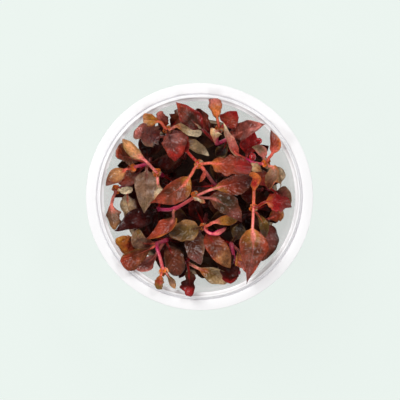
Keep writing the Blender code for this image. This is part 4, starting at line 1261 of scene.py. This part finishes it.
class MouldCup(bpy.types.Operator):
    """Mould the cup, with its flange, sealing bead, groove and stacking step"""

    bl_idname = "culture_cup.mould_cup"
    bl_label = "Mould cup"
    bl_options = {"REGISTER", "UNDO"}

    def execute(self, context):
        cup = context.scene.culture_cup.cup
        item = turned_piece("culture_cup", cup_profile(cup), cup.steps, cup.edge_round)
        # painted shade in grey rings along the plastic's bends
        shade_rings = [(*ring, tuple(cup.edge)) for ring in PAINTED_SHADE_RINGS]
        # the flange gets a whiter, almost opaque copy of the wall's plastic: partly its thicker, milkier
        # plastic, partly painted light from above
        for name, colour, misted, relief, clearness, roughness in (
            ("milky flange", cup.milky, 0.0, 0.08, cup.flange_clearness, cup.flange_roughness),
            ("clear wall", cup.clear, 0.2, 0.6, cup.wall_clearness, cup.wall_roughness),
        ):
            item.data.materials.append(
                plastic_finish(name, tuple(colour), shade_rings, misted, relief, clearness, roughness)
            )
        flange_foot = cup.rim_height - (LIP_DROP + DRAFT) * MM  # just under the lip
        for face in item.data.polygons:
            outward = math.hypot(face.center.x, face.center.y)
            on_flange = face.center.z > flange_foot and outward > (MOUTH_RADIUS + SHOULDER) * MM
            face.material_index = 0 if on_flange else 1
        finish_piece(item, "clear_plastic", "cup")
        return {"FINISHED"}


class PourGel(bpy.types.Operator):
    """Pour the gel that the stems are rooted in"""

    bl_idname = "culture_cup.pour_gel"
    bl_label = "Pour gel"
    bl_options = {"REGISTER", "UNDO"}

    def execute(self, context):
        cup = context.scene.culture_cup.cup
        top = cup.gel_top / MM
        low = FLOOR + GAP
        edge = wall_radius(cup, top) - GAP
        profile = [
            (0.0, top),
            *((edge - inward, top + share * MENISCUS_HEIGHT) for inward, share in MENISCUS),
            (wall_radius(cup, low + BASE_ROUND) - GAP, low + BASE_ROUND + GAP),
            (wall_radius(cup, FLOOR) - BASE_ROUND - GAP, low),
            (0.0, low),
        ]
        item = turned_piece("gel", profile, GEL_STEPS, 0.0)
        item.data.materials.append(gel_finish("set gel", tuple(cup.gel), tuple(cup.gel_edge)))
        finish_piece(item, "gel", "nutrient_gel")
        return {"FINISHED"}


class RaiseStems(bpy.types.Operator):
    """Raise the stems from the gel to their crowns"""

    bl_idname = "culture_cup.raise_stems"
    bl_label = "Raise stems"
    bl_options = {"REGISTER", "UNDO"}

    def execute(self, context):
        settings = context.scene.culture_cup
        for shoot in SHOOTS:
            item = add_stem(shoot, settings)
            item.data.materials.append(stem_finish(f"stem {shoot.name}", settings))
            finish_piece(item, "stem", f"stem_{shoot.name}")
        return {"FINISHED"}


class GrowLeaves(bpy.types.Operator):
    """Grow the leaves of every crown, each on its petiole"""

    bl_idname = "culture_cup.grow_leaves"
    bl_label = "Grow leaves"
    bl_options = {"REGISTER", "UNDO"}

    def execute(self, context):
        settings = context.scene.culture_cup
        pattern = leaf_pattern("leaf_pattern", LEAF_ROWS, LEAF_COLUMNS)
        for shoot in SHOOTS:
            for leaf in shoot.leaves:
                node = f"stem_{shoot.name}" if leaf.fused else f"leaf_{leaf.name}"
                miss, fitted, start, lift = settled_place(shoot, leaf, corner_tree(node))
                if miss > LARGEST_MISS:
                    raise RuntimeError(f"leaf {leaf.name} isn't where the CAD model has it")
                root = start if leaf.fused else Vector(shoot.route[leaf.node])
                item = new_leaf(
                    pattern, f"leaf_{leaf.name}_blade", fitted, start, root, lift, leaf.looks,
                    min(settings.plants.gloss * leaf.wet, 1.0), settings,
                )
                finish_piece(item, f"leaf_{leaf.slot}", node)
        drop(pattern)
        return {"FINISHED"}


class GrowLowerLeaves(bpy.types.Operator):
    """Grow the short leaves that stand in whorls lower on the stems"""

    bl_idname = "culture_cup.grow_lower_leaves"
    bl_label = "Grow lower leaves"
    bl_options = {"REGISTER", "UNDO"}

    def execute(self, context):
        settings = context.scene.culture_cup
        gel_top = settings.cup.gel_top / MM
        pattern = leaf_pattern("lower_leaf_pattern", LOWER_LEAF_ROWS, LOWER_LEAF_COLUMNS)
        for number, shoot in enumerate(SHOOTS):
            tree = corner_tree(f"stem_{shoot.name}")
            for tier in range(len(WHORLS)):
                if number % (tier + 1):
                    continue
                node, arms = whorl_arms(shoot, number, tier, tree, gel_top)
                for i, (turn, reach) in enumerate(arms):
                    name = f"lower_leaf_{shoot.name}_{tier + 1}_{i + 1}"
                    leaf = Leaf(
                        name, 0, tuple(node + ray(turn, reach / 2)), tuple(node + ray(turn, reach)),
                        reach * WHORL_WIDTH, "maroon", "", petiole=LOWER_PETIOLE, fold=LOWER_FOLD,
                    )
                    # dark paints: painted shade deep among the stems
                    looks = LOWER_LOOKS[(number + tier + i) % len(LOWER_LOOKS)]
                    item = new_leaf(pattern, name, leaf, node, node, 0.0, looks, LOWER_GLOSS, settings)
                    finish_piece(item, "leaf_maroon", f"stem_{shoot.name}")
        drop(pattern)
        return {"FINISHED"}


def grow_bracts(pattern, shoot, tip, ahead, settings):
    """A crown's cluster of short scales, which hug the end of the stem; all are one piece."""
    rng = random.Random(f"bracts {shoot.name}")
    first = rng.uniform(0, math.tau)
    side = ahead.cross(Vector(NO_CROWN_WAY)).normalized()
    other = ahead.cross(side)
    gloss = settings.plants.gloss
    scales = []
    for i in range(BRACTS):
        turn = first + math.tau * i / BRACTS
        out = side * math.cos(turn) + other * math.sin(turn)
        foot = tip - ahead * BRACT_LENGTH / 2 + out * BRACT_SPREAD
        reach = BRACT_LENGTH * rng.uniform(*BRACT_LENGTHS)
        end = foot + ahead * reach + out * BRACT_SPREAD
        name = f"bract_{shoot.name}_{i + 1}"
        leaf = Leaf(
            name, 0, tuple(foot.lerp(end, 0.5) + out * BRACT_BULGE), tuple(end), BRACT_WIDTH, "tan", "",
            petiole=BRACT_PETIOLE, fold=BRACT_FOLD, ends=BRACT_ENDS,
        )
        looks = BRACT_LOOKS[i % len(BRACT_LOOKS)]
        scales.append(new_leaf(pattern, name, leaf, foot, foot, 0.0, looks, gloss, settings))
    deselect_all()
    for item in scales:
        item.select_set(True)
    bpy.context.view_layer.objects.active = scales[0]
    bpy.ops.object.join()
    scales[0].name = f"crown_bracts_{shoot.name}"
    return scales[0]


class AddBracts(bpy.types.Operator):
    """Add the orange scales round the crowns and the red wet buds among the leaves"""

    bl_idname = "culture_cup.add_bracts"
    bl_label = "Add bracts and buds"
    bl_options = {"REGISTER", "UNDO"}

    def execute(self, context):
        settings = context.scene.culture_cup
        pattern = leaf_pattern("bract_pattern", BRACT_ROWS, BRACT_COLUMNS)
        for shoot in SHOOTS:
            if shoot.name in BRACTLESS:
                continue
            tip, below = Vector(shoot.route[-1]), Vector(shoot.route[-2])
            item = grow_bracts(pattern, shoot, tip, (tip - below).normalized(), settings)
            finish_piece(item, "leaf_tan", f"stem_{shoot.name}")
        drop(pattern)
        for number, (shoot_name, place, radius) in enumerate(RED_BUDS, 1):
            deselect_all()
            bpy.ops.mesh.primitive_uv_sphere_add(
                segments=BUD_SEGMENTS, ring_count=BUD_RINGS, radius=radius * MM, location=Vector(place) * MM
            )
            item = context.object
            item.name = f"red_bud_{number}"
            item.scale = BUD_SHAPE
            bpy.ops.object.shade_smooth()
            item.data.materials.append(bud_finish(f"red bud {number}", settings))
            finish_piece(item, "leaf_crimson", f"stem_{shoot_name}")
        return {"FINISHED"}


class SetStage(bpy.types.Operator):
    """Lay the floor, and set the light and the camera over the cup"""

    bl_idname = "culture_cup.set_stage"
    bl_label = "Set stage"
    bl_options = {"REGISTER", "UNDO"}

    def execute(self, context):
        stage = context.scene.culture_cup.stage
        deselect_all()
        bpy.ops.mesh.primitive_plane_add(size=STAGE_SIZE, location=(0.0, 0.0, 0.0))
        floor = context.object
        floor.name = "floor"
        material, _, _ = new_finish(
            "light table", 0.9, Specular_IOR_Level=0.0, Emission_Strength=stage.glow,
            Emission_Color=(*stage.floor, 1.0),
            Base_Color=(*(channel * (1.0 - stage.glow) for channel in stage.floor), 1.0),
        )
        floor.data.materials.append(material)
        world = bpy.data.worlds.new("studio")
        context.scene.world = world
        world.use_nodes = True
        sky = world.node_tree.nodes["Background"]
        sky.inputs["Color"].default_value = (1.0, 1.0, 1.0, 1.0)
        sky.inputs["Strength"].default_value = stage.sky
        for i in range(RING_LIGHTS):
            turn = math.radians(RING_START) + math.tau * i / RING_LIGHTS
            place = ray(turn, RING_RADIUS) + Vector((0.0, 0.0, RING_HEIGHT))
            bpy.ops.object.light_add(type="AREA", location=place)
            lamp = context.object
            lamp.name = f"ring_light_{i + 1}"
            lamp.data.size = KEY_SIZE if i == 0 else RING_SIZE
            lamp.data.energy = stage.key_power if i == 0 else stage.key_power * stage.fill
            lamp.rotation_euler = (-place).to_track_quat("-Z", "Y").to_euler()
        bpy.ops.object.camera_add(location=CAMERA_PLACE, rotation=(0.0, 0.0, 0.0))
        camera = context.object
        camera.name = "overhead_camera"
        camera.data.angle = 2 * math.atan(SEEN_HALF_WIDTH / RIM_DISTANCE)
        camera.data.clip_start = CLIP_START
        context.scene.camera = camera
        context.scene.view_settings.view_transform = "Standard"
        return {"FINISHED"}


class CultureCupPanel(bpy.types.Panel):
    """Lists the steps that build the culture cup"""

    bl_idname = "VIEW3D_PT_culture_cup"
    bl_label = "Culture Cup"
    bl_space_type = "VIEW_3D"
    bl_region_type = "UI"
    bl_category = "Culture Cup"

    def draw(self, context):
        settings = context.scene.culture_cup
        for step in STEPS:
            self.layout.operator(step.bl_idname)
        for group in (settings.cup, settings.plants, settings.paints, settings.stage):
            box = self.layout.box()
            for name in group.__annotations__:
                box.prop(group, name)


STEPS = (MouldCup, PourGel, RaiseStems, GrowLeaves, GrowLowerLeaves, AddBracts, SetStage)
CLASSES = (CupSettings, PlantSettings, Paints, StageSettings, CultureCupSettings, *STEPS, CultureCupPanel)


def register():
    """Adds the classes and the settings to Blender."""
    for item in CLASSES:
        bpy.utils.register_class(item)
    bpy.types.Scene.culture_cup = PointerProperty(type=CultureCupSettings)


def unregister():
    """Takes the settings and the classes out of Blender again."""
    del bpy.types.Scene.culture_cup
    for item in reversed(CLASSES):
        bpy.utils.unregister_class(item)


def main():
    """Builds the cup, the plants and the stage."""
    register()
    bpy.ops.culture_cup.mould_cup()
    bpy.ops.culture_cup.pour_gel()
    bpy.ops.culture_cup.raise_stems()
    bpy.ops.culture_cup.grow_leaves()
    bpy.ops.culture_cup.grow_lower_leaves()
    bpy.ops.culture_cup.add_bracts()
    bpy.ops.culture_cup.set_stage()


if __name__ == "__main__":
    main()
